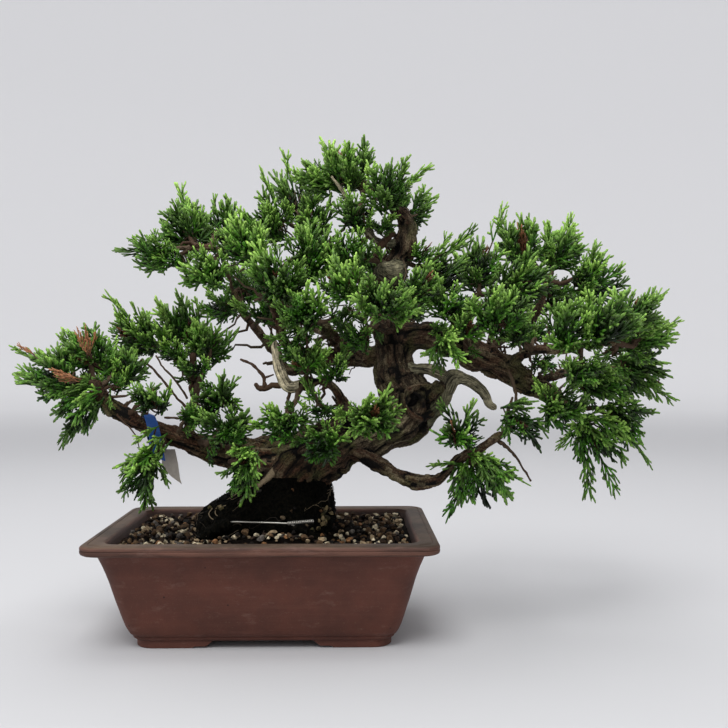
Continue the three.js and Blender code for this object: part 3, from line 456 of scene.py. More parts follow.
def juniperBark():
    # Fibrous bark that peels in long strips: dull grey-brown plates, red-brown where one has come away,
    # and near-black cracks, knot hollows and fibre lines, partly the darker inner bark and partly painted
    # shade;
    # small specks carry painted highlights and shade.
    look = barkLook
    material, place, values = grownMaterial("peelingJuniperBark")
    reliefShade, age, pale, ruddy = values
    grain = addNode(material, "Attribute", attribute_name="grain")
    wide, long = look["fibre"]
    strips = addNode(material, "Mapping", {"Vector": grain.outputs["Vector"],
                                           "Scale": (1 / wide, 1 / wide, 1 / long)})
    fibre = addNode(material, "TexNoise", {"Vector": strips, "Scale": 1.0, "Detail": 4.0,
                                           "Roughness": 0.65})
    flakeGrain = addNode(material, "Mapping", {"Vector": grain.outputs["Vector"],
                                               "Scale": (1 / look["flake"],) * 2 + (0.4 / look["flake"],)})
    flake = addNode(material, "TexNoise", {"Vector": flakeGrain, "Scale": 1.0, "Detail": 3.0,
                                           "Roughness": 0.6})
    bare = addNode(material, "MapRange", {"Value": flake, "From Min": 0.48, "From Max": 0.6})
    inner = addNode(material, "MixRGB", {"Fac": age, "Color1": linear(look["inner"]),
                                         "Color2": linear(look["red"])})
    plateShare = addNode(material, "MapRange", {"Value": fibre, "From Min": 0.42, "From Max": 0.6})
    plateColour = addNode(material, "MixRGB", {"Fac": ruddy, "Color1": linear(look["plate"]),
                                               "Color2": linear(look["ruddy"])})
    plates = addNode(material, "MixRGB", {"Fac": plateShare, "Color1": inner, "Color2": plateColour})
    wornShare = addNode(material, "Math", {0: bare, 1: pale}, operation="MULTIPLY")
    worn = addNode(material, "MixRGB", {"Fac": wornShare, "Color1": plates, "Color2": linear(look["worn"])})
    cloud = addNode(material, "TexNoise", {"Vector": place, "Scale": perMillimetre(look["cloud"]),
                                           "Detail": 3.0})
    mossShare = addNode(material, "MapRange", {"Value": cloud, "From Min": 0.5, "From Max": 0.68,
                                               "To Max": 0.7})
    mossy = addNode(material, "MixRGB", {"Fac": mossShare, "Color1": worn, "Color2": linear(look["moss"])})
    # painted shade: cracks, knot hollows and low places go to the near-black crack colour, partly the darker
    # inner bark
    reliefLit = addNode(material, "MapRange", {"Value": reliefShade, "From Min": 0.2, "From Max": 0.6})
    crackShaded = addNode(material, "MixRGB", {"Fac": reliefLit, "Color1": linear(look["crack"]), "Color2": mossy})
    # dark fibre lines along the grain: painted shade, partly the darker inner bark
    lines = addNode(material, "MapRange", {"Value": fibre, "From Min": 0.3, "From Max": 0.4})
    lined = addNode(material, "MixRGB", {"Fac": lines, "Color1": linear(look["crack"]), "Color2": crackShaded})
    specks = addNode(material, "TexNoise", {"Vector": place, "Scale": perMillimetre(look["speck"]),
                                            "Detail": 3.0, "Roughness": 0.7})
    # specks: painted small highlights and shade, by the same noise as the bump
    shade = addNode(material, "MapRange", {"Value": specks, "From Min": 0.34, "From Max": 0.66,
                                           "To Min": 0.35, "To Max": 1.7})
    colour = addNode(material, "VectorMath", {0: lined, "Scale": shade}, operation="SCALE")
    height = addNode(material, "Math", {0: fibre, 1: specks}, operation="ADD")
    return finished(material, {"Base Color": colour, "Roughness": look["roughness"],
                               "Specular IOR Level": 0.25}, height, 1.0, 0.0014)


deadwoodLook = {
    "pale": "#dccfae", "grey": "#52523a", "stainAndCrackShade": "#1d1a12", "fibre": [0.8, 9.0], "fold": 3.0,
    "roughness": 0.8,
}


def weatheredDeadwood():
    # Bare wood left to weather: pale straw to grey-green, with fine cracks along the grain, darkened partly
    # as stain and partly as painted shade, and folds painted darker in their creases and lighter on their
    # ridges.
    look = deadwoodLook
    material, place, values = grownMaterial("weatheredDeadwood")
    paleness = values[2]
    grain = addNode(material, "Attribute", attribute_name="grain")
    wide, long = look["fibre"]
    strips = addNode(material, "Mapping", {"Vector": grain.outputs["Vector"],
                                           "Scale": (1 / wide, 1 / wide, 1 / long)})
    fibre = addNode(material, "TexNoise", {"Vector": strips, "Scale": 1.0, "Detail": 3.0, "Roughness": 0.6})
    base = addNode(material, "MixRGB", {"Fac": paleness, "Color1": linear(look["grey"]),
                                        "Color2": linear(look["pale"])})
    # fine cracks along the grain: partly stain, partly painted shade
    lines = addNode(material, "MapRange", {"Value": fibre, "From Min": 0.36, "From Max": 0.54})
    lined = addNode(material, "MixRGB", {"Fac": lines, "Color1": linear(look["stainAndCrackShade"]), "Color2": base})
    folds = addNode(material, "TexNoise", {"Vector": place, "Scale": perMillimetre(look["fold"]),
                                           "Detail": 4.0, "Roughness": 0.65})
    # painted shade and highlight on the folds: darker in their creases, lighter on their ridges, by the
    # noise of their bump
    shade = addNode(material, "MapRange", {"Value": folds, "From Min": 0.36, "From Max": 0.62,
                                           "To Min": 0.4, "To Max": 1.3})
    colour = addNode(material, "VectorMath", {0: lined, "Scale": shade}, operation="SCALE")
    height = addNode(material, "Math", {0: fibre, 1: folds}, operation="ADD")
    return finished(material, {"Base Color": colour, "Roughness": look["roughness"],
                               "Specular IOR Level": 0.25}, height, 0.9, 0.0008)


twigLook = {"brown": "#3d281b", "grey": "#6f6350", "fibre": 1.2, "roughness": 0.85}


def youngBark():
    # Thin bark of last year's twigs: red-brown, greyer and rougher where it is older.
    look = twigLook
    material, place, values = grownMaterial("thinTwigBark")
    greyness = values[2]
    noise = addNode(material, "TexNoise", {"Vector": place, "Scale": perMillimetre(look["fibre"]),
                                           "Detail": 3.0})
    share = addNode(material, "Math", {0: noise, 1: greyness}, operation="MULTIPLY")
    colour = addNode(material, "MixRGB", {"Fac": share, "Color1": linear(look["brown"]),
                                          "Color2": linear(look["grey"])})
    return finished(material, {"Base Color": colour, "Roughness": look["roughness"],
                               "Specular IOR Level": 0.25}, noise, 0.8, 0.0006)


foliageMaterial = scaleLeafFoliage()
barkMaterial = juniperBark()
deadwoodMaterial = weatheredDeadwood()
twigMaterial = youngBark()
print("materials of the tree made")

# Tree: every limb as a fine tube, joined into one skin, then given bark along its own grain
# Sizes of bark are across, across and along the grain. The burl is where the trunk's foot is knobbly: from
# left to right, up to a height, and how far it fades. Paleness and ruddiness go by the limb's name.
treeLook = {
    "voxel": 0.85, "smoothing": 3, "spacing": 1.5, "twist": 0.012, "crackSize": [4.2, 4.2, 13.0],
    "crackShare": 0.11, "crackDepth": 0.16, "crackMost": 1.5, "plateSize": [2.6, 2.6, 6.0],
    "plateLift": 1.1, "flakeSize": [1.8, 1.8, 3.4], "flakeLift": 0.9, "lump": 0.17, "thinLump": 0.16,
    "deadFibre": 0.7, "deadLump": 0.3, "burl": [-5.0, 48.0, 96.0, 10.0],
    "paleness": {"leftStub": 1.1, "knob": 0.16, "rightArm": 0.2, "rightArmLoop": 0.22, "other": 0.26},
    "ruddiness": {
        "lowLeft": 0.55, "lowLeftRiser": 0.9, "upperLeft": 0.3, "rightMain": 0.25, "archLeft": 0.3,
        "other": 0.05,
    },
}
# Swollen rims that the trunk has grown round an old wound, and the ringed stub beside it
callus = [
    [68.6, -17, 118.2, 2], [71.5, -15.5, 120.7, 1.8], [76.4, -14.5, 120.7, 1.8],
    [81.3, -12.5, 117.8, 2.2], [83.2, -10.5, 113.4, 2.4], [81.3, -13, 108.5, 2.2],
    [76.4, -16.5, 105.6, 2], [70.5, -18.5, 107.5, 1.8], [67.6, -18.5, 112.9, 2], [68.6, -17, 118.2, 2],
]
wound = [
    [72, -17.5, 117, 1.3], [75.5, -17.5, 114.5, 1.7], [76.5, -17.2, 111, 1.8], [75, -17.5, 108.5, 1.2],
]
ringedStub = [[78, -9, 113, 3.4], [81, -13, 117, 3.6], [82.6, -15.5, 119.6, 3.0], [83.6, -17, 121, 3.2]]
woundLimbs = {"callus": callus, "wound": wound, "ringedStub": ringedStub}
rootLimbs = {f"root{number}": knots for number, knots in enumerate(roots)}
spacing = treeLook["spacing"]
limbLines = {}
for limbs, step, dead in (({"trunk": trunkLine, **liveLimbs}, spacing, False), (deadLimbs, spacing, True),
                          (rootLimbs, spacing, False), (woundLimbs, 0.9, False)):
    for name, knots in limbs.items():
        limbLines[name] = (*smoothLine(knots, step), dead)


def joinedSkin(parts, voxel):
    # one closed surface round all the tubes, as points and quads in millimetres
    rough = temporaryObject("limbTubes", *parts.shape())
    remesh = rough.modifiers.new("skin", "REMESH")
    remesh.mode = "VOXEL"
    remesh.voxel_size = voxel
    return readBack(rough, 4)


def faceNormals(points, faces):
    corner = points[faces]
    return np.cross(corner[:, 2] - corner[:, 0], corner[:, 3 % faces.shape[1]] - corner[:, 1])


def pointNormals(points, faces):
    normals = np.zeros_like(points)
    square = faceNormals(points, faces)
    for corner in range(faces.shape[1]):
        np.add.at(normals, faces[:, corner], square)
    return unit(normals)


def relaxed(points, faces, weights, rounds):
    # moves each point towards the middle of its neighbours
    edges = np.vstack([faces[:, [side, (side + 1) % 4]] for side in range(4)])
    number = np.bincount(edges.ravel(), minlength=len(points))[:, None]
    for _ in range(rounds):
        total = np.zeros_like(points)
        np.add.at(total, edges[:, 0], points[edges[:, 1]])
        np.add.at(total, edges[:, 1], points[edges[:, 0]])
        points = points + (total / number - points) * weights[:, None] * 0.5
    return points


class Grain:
    # where the wood runs: samples along every limb, to look up the nearest one
    def __init__(self, lines):
        rows = {"at": [], "across": [], "up": [], "radius": [], "along": [], "dead": [], "limb": []}
        for number, (line, radii, dead) in enumerate(lines.values()):
            ahead, across, up = carriedFrames(line)
            steps = np.linalg.norm(np.diff(line, axis=0), axis=1)
            rows["at"].append(line)
            rows["across"].append(across)
            rows["up"].append(up)
            rows["radius"].append(radii)
            rows["along"].append(np.concatenate([[0], np.cumsum(steps)]) + number * 137.0)
            rows["dead"].append(np.full(len(line), float(dead)))
            rows["limb"].append(np.full(len(line), number))
        for key, value in rows.items():
            setattr(self, key, np.concatenate(value))

    def nearest(self, points):
        found = np.zeros(len(points), int)
        for start in range(0, len(points), 4000):
            part = points[start:start + 4000]
            away = np.linalg.norm(part[:, None] - self.at[None], axis=2) - self.radius[None]
            found[start:start + 4000] = away.argmin(1)
        return found

    def coordinates(self, points, found):
        # place in the wood: two numbers round the limb and one along it, all in millimetres
        offset = points - self.at[found]
        sideways = (offset * self.across[found]).sum(1)
        upward = (offset * self.up[found]).sum(1)
        reach = np.maximum(np.hypot(sideways, upward), 1e-6)
        radius = np.maximum(self.radius[found], 1.5)
        return np.stack([sideways / reach * radius, upward / reach * radius, self.along[found]], 1)


# Hollow knots in the wood: where each one is, how far it reaches and how deep it goes
hollowKnots = [
    [71, -19, 114.5, 4.5, 2.6], [79, -15, 112.5, 4.5, 2.4], [76, -18, 118.5, 3.5, 1.6],
    [79, -17, 103.5, 5.5, 1.2], [-24, -15, 92, 4, 0.9], [40, -16, 101, 5, 1.2], [62, -17, 100, 4, 0.9],
    [61, -9, 128, 4, 0.9],
]


def knotFolds(points):
    # the height of the folds that run round each knot, and how much of a knot each point is
    height, share = np.zeros(len(points)), np.zeros(len(points))
    for x, y, z, reach, depth in hollowKnots:
        away = np.linalg.norm((points - [x, y, z]) * [1, 0.6, 0.85], axis=1) / reach
        near = np.clip(1 - away, 0, 1)
        ripple = 0.55 * np.cos(away * 15 + smoothNoise(points / 4, 9) * 3)
        height += near**0.7 * depth * (ripple - 0.9 * near)
        share = np.maximum(share, near * (1 + 0.5 * np.cos(away * 15)))
    return height, share


def makeTree():
    look = treeLook
    tubes = Parts()
    for line, radii, dead in limbLines.values():
        sides = 20 if radii.max() > 6 else 12
        tubes.add(*tube(line, radii, sides))
    points, faces = joinedSkin(tubes, look["voxel"])
    grain = Grain(limbLines)
    found = grain.nearest(points)
    points = relaxed(points, faces, np.clip((grain.radius[found] - 1.5) / 4, 0.15, 1), look["smoothing"])
    found = grain.nearest(points)
    radius = grain.radius[found]
    dead = grain.dead[found] > 0.5
    limb = grain.limb[found]
    place = grain.coordinates(points, found)
    turn = place[:, 2] * look["twist"]
    place = np.stack([place[:, 0] * np.cos(turn) - place[:, 1] * np.sin(turn),
                      place[:, 0] * np.sin(turn) + place[:, 1] * np.cos(turn), place[:, 2]], 1)
    sway = np.stack([smoothNoise(place / [6, 6, 11], seed) - 0.5 for seed in (11, 12, 13)], 1)
    sway = sway * [3.0, 3.0, 8.0]
    split = np.abs(2 * smoothNoise((place + sway) / look["crackSize"], 1) - 1)
    crack = np.exp(-(split / look["crackShare"]) ** 2)
    plates = np.clip((smoothNoise((place + sway) / look["plateSize"], 2) - 0.5) * 6, -1, 1)
    flakes = np.clip((smoothNoise(place / look["flakeSize"], 15) - 0.52) * 5, -0.6, 1)
    fine = smoothNoise(place / [0.9, 0.9, 11], 5)
    lump = smoothNoise(points / 9, 4) - 0.5 + 0.6 * (smoothNoise(points / 4.2, 7) - 0.5)
    size = np.clip(radius / 7, 0.1, 1)
    deep = np.minimum(look["crackDepth"] * radius + 0.1, look["crackMost"])
    bark = look["plateLift"] * size * (0.5 * plates + 0.5 * (fine - 0.5)) - deep * crack
    bark = bark + look["flakeLift"] * np.clip(radius / 5, 0.2, 1) * 0.6 * flakes
    fold, knot = knotFolds(points)
    thin = np.clip((7 - radius) / 3, 0, 1)
    burlLeft, burlRight, burlTop, burlFade = look["burl"]
    burl = 1.0
    for inward in (burlRight - points[:, 0], burlTop - points[:, 2], points[:, 0] - burlLeft):
        burl = burl * np.clip(inward / burlFade, 0, 1)
    knobbly = 2.4 * (smoothNoise(points / 2.2, 17) - 0.5) + 3.4 * (smoothNoise(points / 5, 18) - 0.5)
    bark = bark * (1 - 0.65 * burl) + burl * knobbly
    bark = bark + (look["lump"] + look["thinLump"] * thin) * radius * lump * 2 + fold
    bare = look["deadFibre"] * (1.6 * (fine - 0.5) - 0.6 * crack) + look["deadLump"] * radius * lump
    height = np.where(dead, bare, bark)
    points = points + pointNormals(points, faces) * height[:, None]
    # painted shade for the bark: low in the cracks and knot hollows, high on plates and flakes; the bark
    # material darkens the low places to near black
    reliefLit = 0.6 + 0.15 * plates + 0.15 * flakes + 0.35 * (fine - 0.5)
    reliefLit = np.clip(reliefLit - 0.55 * crack * np.clip(size * 2, 0.3, 1) - 0.6 * knot, 0, 1)
    age = np.clip(1.1 - radius / 9, 0, 1)
    paleness, ruddiness = [np.array([look[key].get(name, look[key]["other"]) for name in limbLines])
                           for key in ("paleness", "ruddiness")]
    pale = smoothNoise(points / 16, 6)
    pale = np.where(dead, np.clip(paleness[limb] + 0.5 * (pale - 0.5), 0, 1), pale)
    ruddy = np.clip(ruddiness[limb] + 0.45 * burl + 0.5 * (smoothNoise(points / 12, 8) - 0.5), 0, 1)
    ruddy = np.where(dead, 0, ruddy)
    skin = Parts()
    skin.add(points, faces, np.stack([reliefLit, age * 0.8, pale, ruddy], 1), dead[faces].mean(1) > 0.5)
    piece = addPiece("tree_wood", skin, [barkMaterial, deadwoodMaterial], ["tree"])
    layer = piece.data.attributes.new("grain", "FLOAT_VECTOR", "POINT")
    layer.data.foreach_set("vector", place.astype(np.float32).ravel())
    print("tree wood:", len(faces) * 2, "triangles")
    return grain


woodGrain = makeTree()

# Foliage: cords of scale leaves in plume-shaped sprigs, which fill each clump and stand on forking twigs
# The heart and reach give the middle and half size of the whole crown, by which the light falls off.
foliageLook = {
    "cordRadius": 0.74, "cordSides": 3, "scalePitch": 2.7, "kinds": 14, "sprigLength": 16.0,
    "sideAngle": 38, "sideLength": 9.5, "smallAngle": 36, "smallLength": 4.4, "sprigArea": 126,
    "inside": 0.25, "feedSprigs": 3, "twigRadius": 0.42, "feedRadius": 0.9, "lift": 0.1,
    "heart": [45.0, 0.0, 125.0], "reach": [115.0, 60.0, 90.0], "bareKnot": [60, 92, 134],
    "band": [-55.5, -17.8, 100.1], "bandClear": 9,
}
# Sprays given more painted light, which also lets more of their tips show yellow-green, and how much more
sunnySprays = {
    "trunk_front": 0.3, "hanging_tuft": 0.3, "middle_low": 0.12, "front_clump": 0.1, "right_end": 0.15,
    "right_end_under": 0.08, "arch_tuft": 0.12, "low_left_drop": 0.1, "middle_drop": 0.1,
    "crown_tip": 0.1,
}
# Sprays with fewer sprigs than the others, and their share of the usual number
thinSprays = {
    "low_right": 0.6, "right_under": 0.7, "right_drop": 0.75, "low_right_end": 0.8, "hanging_tuft": 0.8,
    "low_left_under": 0.85, "upper_left_end": 0.85, "crown_right": 0.9,
}
# Sprays that hang: their sprigs droop and their twigs come from above
hangingSprays = [
    "low_left_under", "low_left_drop", "middle_drop", "right_drop", "right_end_under", "hanging_tuft",
    "right_under", "low_right_end", "right_low",
]

# Long single sprigs that stand out of the outline: spray, then where each one's tip is
loneTips = {
    "low_left_tip": [[-116, -27, 139], [-115, -27, 128]],
    "left_shelf_end": [[-77, -10, 163.5], [-73, -9, 155], [-66, -8, 159]],
    "upper_left_end": [[-72, -14, 187]], "upper_left_crest": [[-45, 6, 219]],
    "crown_left_end": [[-3, 8, 226]], "crown_left": [[7, 20, 239]], "crown_right": [[78, -5, 229]],
    "right_crest_inner": [[89, 2, 195], [97, 5, 194], [103, 8, 200]],
    "right_crest_middle": [[121, 22, 212]], "right_top": [[160, 34, 209], [168, 36, 195]],
    "right_upper_end": [[174, 34, 195]], "right_end": [[191, -20, 165], [197, -22, 152]],
    "right_end_under": [[207, 14, 114]],
    "right_drop": [[160, -6, 70], [190, -2, 84], [145, -10, 92], [170, -12, 72]],
    "low_right_end": [[89, -24, 62], [122, -24, 76], [80, -28, 84]],
    "low_left_drop": [[-55, -36, 70], [-64, -38, 76]], "middle_drop": [[-12, -46, 75]],
    "low_left_under": [[-92, -34, 98]], "low_right": [[84, -36, 112]],
}

# Sprigs that have died back: where each starts and ends
brownSprigs = {
    "low_left_crest": [
        [[-80, -40, 136], [-84, -41, 145]], [[-80, -40, 137], [-80.5, -42, 146.5]],
        [[-79.5, -40, 136], [-77, -41, 144]],
    ],
    "low_left_tip": [
        [[-82, -45, 125], [-93, -47, 129]], [[-83, -44, 124], [-92, -46, 126]],
        [[-107, -31, 136], [-114, -31, 140]],
    ],
}

# Green sprigs that hang in front of the limb and its band: where each starts and ends
laidSprigs = {
    "low_left_drop": [
        [[-46, -28, 99], [-56, -34, 91]], [[-50, -28, 102.5], [-58.5, -34, 97]],
        [[-44, -28, 96], [-50, -35, 86]],
    ],
}

# Twigs without leaves that show between the limbs: x, y, z and radius along each
bareTwigs = [
    [
        [8, -22, 121.5, 1.5], [3, -21, 121.6, 1.4], [-1, -20, 119.9, 1.5], [-4, -20, 120.6, 1.4],
        [-5, -20, 122.4, 1.2],
    ],
    [
        [-1, -20, 120.5, 1.2], [-1, -20, 125, 0.9], [-3.4, -20, 128, 0.8], [-7, -20, 131.9, 0.8],
        [-12.3, -20, 134, 0.6],
    ],
    [[-1, -20, 125, 0.7], [3.6, -21, 127, 0.5]],
    [
        [12, -22, 120.5, 1.3], [11, -22, 117, 0.9], [10, -22, 113, 0.8], [10.4, -23, 108.7, 0.7],
        [8, -24, 102.4, 0.6], [6.6, -25, 95, 0.5],
    ],
    [
        [-38, 2, 117, 2.2], [-36.2, 3, 122, 1.7], [-33.2, 4, 131, 1.4], [-31.2, 6, 137, 1.2],
        [-29.5, 10, 143, 1.0],
    ],
    [[-38, 3, 127, 1.9], [-38.6, 2, 132, 1.7], [-39, 1, 137, 1.6]],
    [
        [-62, -12, 134, 0.6], [-57.4, -10, 130.3, 0.6], [-51.5, -10, 123.4, 0.6], [-45.6, -10, 116, 0.7],
        [-39.4, -8, 109, 0.8],
    ],
    [[-55, -10, 136, 0.5], [-52.5, -10, 131.3, 0.5], [-46, -9, 124, 0.5], [-40.4, -6, 115, 0.6]],
    [[-50, -14, 105.6, 0.6], [-43, -12, 105, 0.7], [-38.7, -9, 102.8, 0.8]],
    [[-88, -28, 118, 0.6], [-83, -28, 116, 0.7], [-77, -27, 114, 0.8]],
    [[62, -2, 198, 2.0], [56, -8, 191, 1.6], [53, -10, 186, 1.3], [55, -10, 180, 1.2]],
    [[50, -7, 196, 1.2], [44, -6, 190, 0.9], [37, -4, 189, 0.8], [30, -4, 192, 0.6]],
    [[118, -14, 129, 1.0], [120, -18, 122, 0.9], [121, -20, 114, 0.8], [119, -22, 108, 0.6]],
    [[114, -21, 98, 1.4], [117, -21, 103, 1.2], [117, -21, 110, 1.0], [119, -21, 116, 0.7]],
    [[112, -21, 95, 1.2], [119, -20, 89, 0.8], [124, -20, 82, 0.6], [128, -20, 75, 0.5]],
]
# Thin twigs that cross inside the tree, and short dead spurs along the limbs
tangleLook = {
    "twigs": 105, "shortest": 14.0, "longest": 40.0, "radius": [0.35, 0.75], "spurs": 190,
    "spurLength": 7.0, "spurRadius": 0.75,
}
# Small clumps that fill a spray out: spray, then x, y, z, half width and half height
fillers = {
    "crown_middle": [[56, -12, 201, 7, 5]], "middle_low": [[36, -33, 155, 8, 6]],
    "middle_front": [[17, -30, 145, 8, 5]], "upper_left_end": [[-46, -12, 184, 10, 6]],
    "mound_right": [[28, -37, 110, 8, 6]], "low_left_inner": [[-36, -26, 108, 8, 6]],
    "right_top_under": [[134, -6, 148, 9, 7], [121, -4, 150, 8, 6]], "right_low": [[138, -8, 133, 8, 6]],
    "right_end": [[172, -10, 138, 9, 7]], "crown_right": [[77, -2, 188, 7, 6]],
    "middle_left": [[-5, 8, 160, 8, 7]], "right_inner": [[97, -30, 150, 9, 6], [122, -30, 146, 8, 6]],
    "left_shelf": [[-38, -4, 131, 8, 5], [-50, 2, 138, 9, 6]], "low_left_crest": [[-72, -24, 123, 8, 5]],
}


def cordOf(start, ahead, bend, length, radius, young):
    # a cord of scale leaves: each ring of points is turned half a side from the last, as the leaf pairs are
    sides = foliageLook["cordSides"]
    steps = max(1, round(length / foliageLook["scalePitch"]))
    across, up = crossPair(ahead)
    shares = np.arange(steps + 1) / steps
    middle = start + ahead * (length * shares)[:, None] + bend * (length * shares**2)[:, None]
    swell = radius * (1.0 - 0.08 * shares**3) * np.where(np.arange(steps + 1) % 2, 0.9, 1.08)
    angles = (np.arange(sides)[None] * 2 + np.arange(steps + 1)[:, None]) * math.pi / sides
    rings = middle[:, None] + swell[:, None, None] * (np.cos(angles)[..., None] * across
                                                      + np.sin(angles)[..., None] * up)
    tip = middle[-1] + unit(middle[-1] - middle[-2]) * radius * 0.9
    points = np.vstack([rings.reshape(-1, 3), tip])
    side = np.arange(sides)
    after = (side + 1) % sides
    faces = [np.stack([np.zeros(sides - 2, int), side[2:], side[1:-1]], 1)]
    for step in range(steps):
        a, b = step * sides, (step + 1) * sides
        faces.append(np.stack([a + side, a + after, b + side], 1))
        faces.append(np.stack([b + side, a + after, b + after], 1))
    last, end = steps * sides, (steps + 1) * sides
    faces.append(np.stack([last + side, last + after, np.full(sides, end)], 1))
    ages = np.concatenate([np.repeat(young + (1 - young) * shares * 0.8, sides), [1.0]])
    return points, np.vstack(faces), ages


def sprigKind(rng):
    # one plume: a leading cord, side cords by turns left and right, and small cords on those
    look = foliageLook
    length, radius = look["sprigLength"], look["cordRadius"]
    sway = np.array([rng.normal(0, 0.07), rng.normal(0, 0.07), 0])
    cords = [cordOf(np.zeros(3), np.array([0, 0, 1.0]), sway, length, radius * 1.08, 0.05)]
    number = rng.integers(7, 10)
    for place in range(number):
        share = 0.1 + 0.8 * place / (number - 1)
        turn = math.pi * (place % 2) + rng.normal(0, 0.5)
        angle = math.radians(look["sideAngle"] + rng.normal(0, 7) - 12 * share)
        level = math.sin(angle)
        ahead = np.array([math.cos(turn) * level, math.sin(turn) * level, math.cos(angle)])
        start = np.array([0, 0, length * share])
        reach = look["sideLength"] * (1.1 - 0.62 * share) * rng.uniform(0.78, 1.2)
        bend = np.array([0, 0, rng.uniform(0.02, 0.22)]) - ahead * 0.05
        cords.append(cordOf(start, ahead, bend, reach, radius, 0.2 + 0.3 * share))
        for fork in range(int(reach > 3.6) + int(reach > 7.4)):
            at = 0.4 + 0.25 * fork + rng.uniform(-0.08, 0.08)
            flip = 1 if fork % 2 else -1
            out = unit(np.cross(ahead, [-math.sin(turn), math.cos(turn), 0]) + rng.normal(0, 0.4, 3))
            spread = math.radians(look["smallAngle"] + rng.normal(0, 6))
            away = unit(ahead * math.cos(spread) + out * math.sin(spread) * flip)
            base = start + ahead * reach * at + bend * reach * at * at
            small = look["smallLength"] * rng.uniform(0.7, 1.25)
            cords.append(cordOf(base, away, bend, small, radius * 0.92, 0.4 + 0.3 * share))
    parts = Parts()
    for points, faces, ages in cords:
        parts.add(points, faces, np.stack([ages] * 4, 1))
    return *parts.shape(), np.vstack(parts.values)[:, 0]


def placedSprig(kind, base, ahead, roll, scale, width, lift):
    # a sprig grown from base along ahead, its end bent by lift
    points, faces, ages = kind
    across, up = crossPair(ahead)
    side = across * math.cos(roll) + up * math.sin(roll)
    flat = np.cross(ahead, side)
    scaled = points * [width, width, scale]
    bent = (scaled[:, 2:] / foliageLook["sprigLength"]) ** 2
    world = base + scaled[:, :1] * side + scaled[:, 1:2] * flat + scaled[:, 2:] * ahead + bent * lift
    return world, faces, ages


def crookedLine(start, end, rng, sag=0.0, crook=0.12, steps=6):
    # a twig's way from start to end, a little crooked, and lower or higher in the middle by sag
    length = np.linalg.norm(end - start)
    shares = np.linspace(0, 1, steps + 1)
    sway = rng.normal(0, crook * length / steps**0.5, (steps + 1, 3))
    sway[0] = sway[-1] = 0
    arch = np.sin(shares * math.pi)[:, None] * np.array([0, 0, sag * length])
    return start + (end - start) * shares[:, None] + sway + arch


def evenDirections(number, rng):
    # directions spread evenly over a ball
    place = (np.arange(number) + 0.5) / number
    height = 1 - 2 * place
    turn = np.arange(number) * math.pi * (3 - 5**0.5) + rng.uniform(0, 6)
    level = np.sqrt(1 - height**2)
    return np.stack([np.cos(turn) * level, np.sin(turn) * level, height], 1)


def openLimbs(thickest):
    # the samples of the live limbs that twigs grow from: none on the swollen knot or under the tag's band
    at = woodGrain.at
    left, right, top = foliageLook["bareKnot"]
    knot = (at[:, 0] > left) & (at[:, 0] < right) & (at[:, 2] < top)
    clear = np.linalg.norm(at - foliageLook["band"], axis=1) > foliageLook["bandClear"]
    return (woodGrain.dead < 0.5) & (woodGrain.radius < thickest) & ~knot & clear


class Clump:
    # one clump of a spray: where it is, the limb it grows from and the point where its twigs fork
    def __init__(self, numbers, name, rng):
        hanging = name in hangingSprays
        self.sunny = sunnySprays.get(name, -0.03)
        self.share = thinSprays.get(name, 1.06)
        self.middle = np.array(numbers[:3], float)
        self.half = np.array([numbers[3], numbers[3], numbers[4]], float)
        self.hanging, self.rng = hanging, rng
        limbs = np.flatnonzero(openLimbs(9))
        away = np.linalg.norm(woodGrain.at[limbs] - self.middle, axis=1)
        self.root = woodGrain.at[limbs[away.argmin()]]
        self.distance = away.min()
        self.outward = unit(self.middle - self.root)
        self.hub = self.middle - self.outward * min(self.distance * 0.8, self.half.min() * 0.7)

    def light(self, points):
        # how much light reaches each point: more towards the outside and top of the clump, and of the tree
        look = foliageLook
        place = (points - self.middle) / self.half
        depth = np.clip(np.linalg.norm(place, axis=1) * 0.85, 0, 1)
        tree = np.linalg.norm((points - look["heart"]) / look["reach"], axis=1)
        above = np.clip((points[:, 2] - look["heart"][2]) / look["reach"][2], -1, 1)
        own = 0.85 * depth**2 + 0.35 * np.clip(place[:, 2], -1, 1) - 0.4 * self.rng.random() ** 2
        return np.clip(own * (0.45 + 0.55 * np.clip(tree, 0, 1)) + 0.12 * above + self.sunny, 0, 1)


def addSprig(parts, clump, kinds, base, end, width, dead=0.0):
    # one sprig from base to end, and the fine twig that carries it
    look, rng = foliageLook, clump.rng
    reach = np.linalg.norm(end - base)
    scale = float(np.clip(reach / look["sprigLength"], 0.5, 1.35))
    droop = -0.14 if clump.hanging else look["lift"]
    ahead = unit(end - base - [0, 0, droop * reach])
    kind, roll = kinds[rng.integers(len(kinds))], rng.uniform(0, 6.3)
    lift = np.array([0, 0, droop * reach / scale**2])
    points, faces, ages = placedSprig(kind, base, ahead, roll, scale, width * min(scale, 1.0), lift)
    count = len(points)
    values = np.stack([ages, clump.light(points), np.full(count, rng.random()), np.full(count, dead)], 1)
    parts.add(points, faces, values)
    twig = crookedLine(clump.hub, base + ahead * 1.5, rng, 0, 0.13, 3)
    parts.add(*tube(twig, [look["twigRadius"] * k for k in (1.5, 1.25, 1.1, 1.0)], 3),
              [0.5, 0, rng.random(), 0], 1)


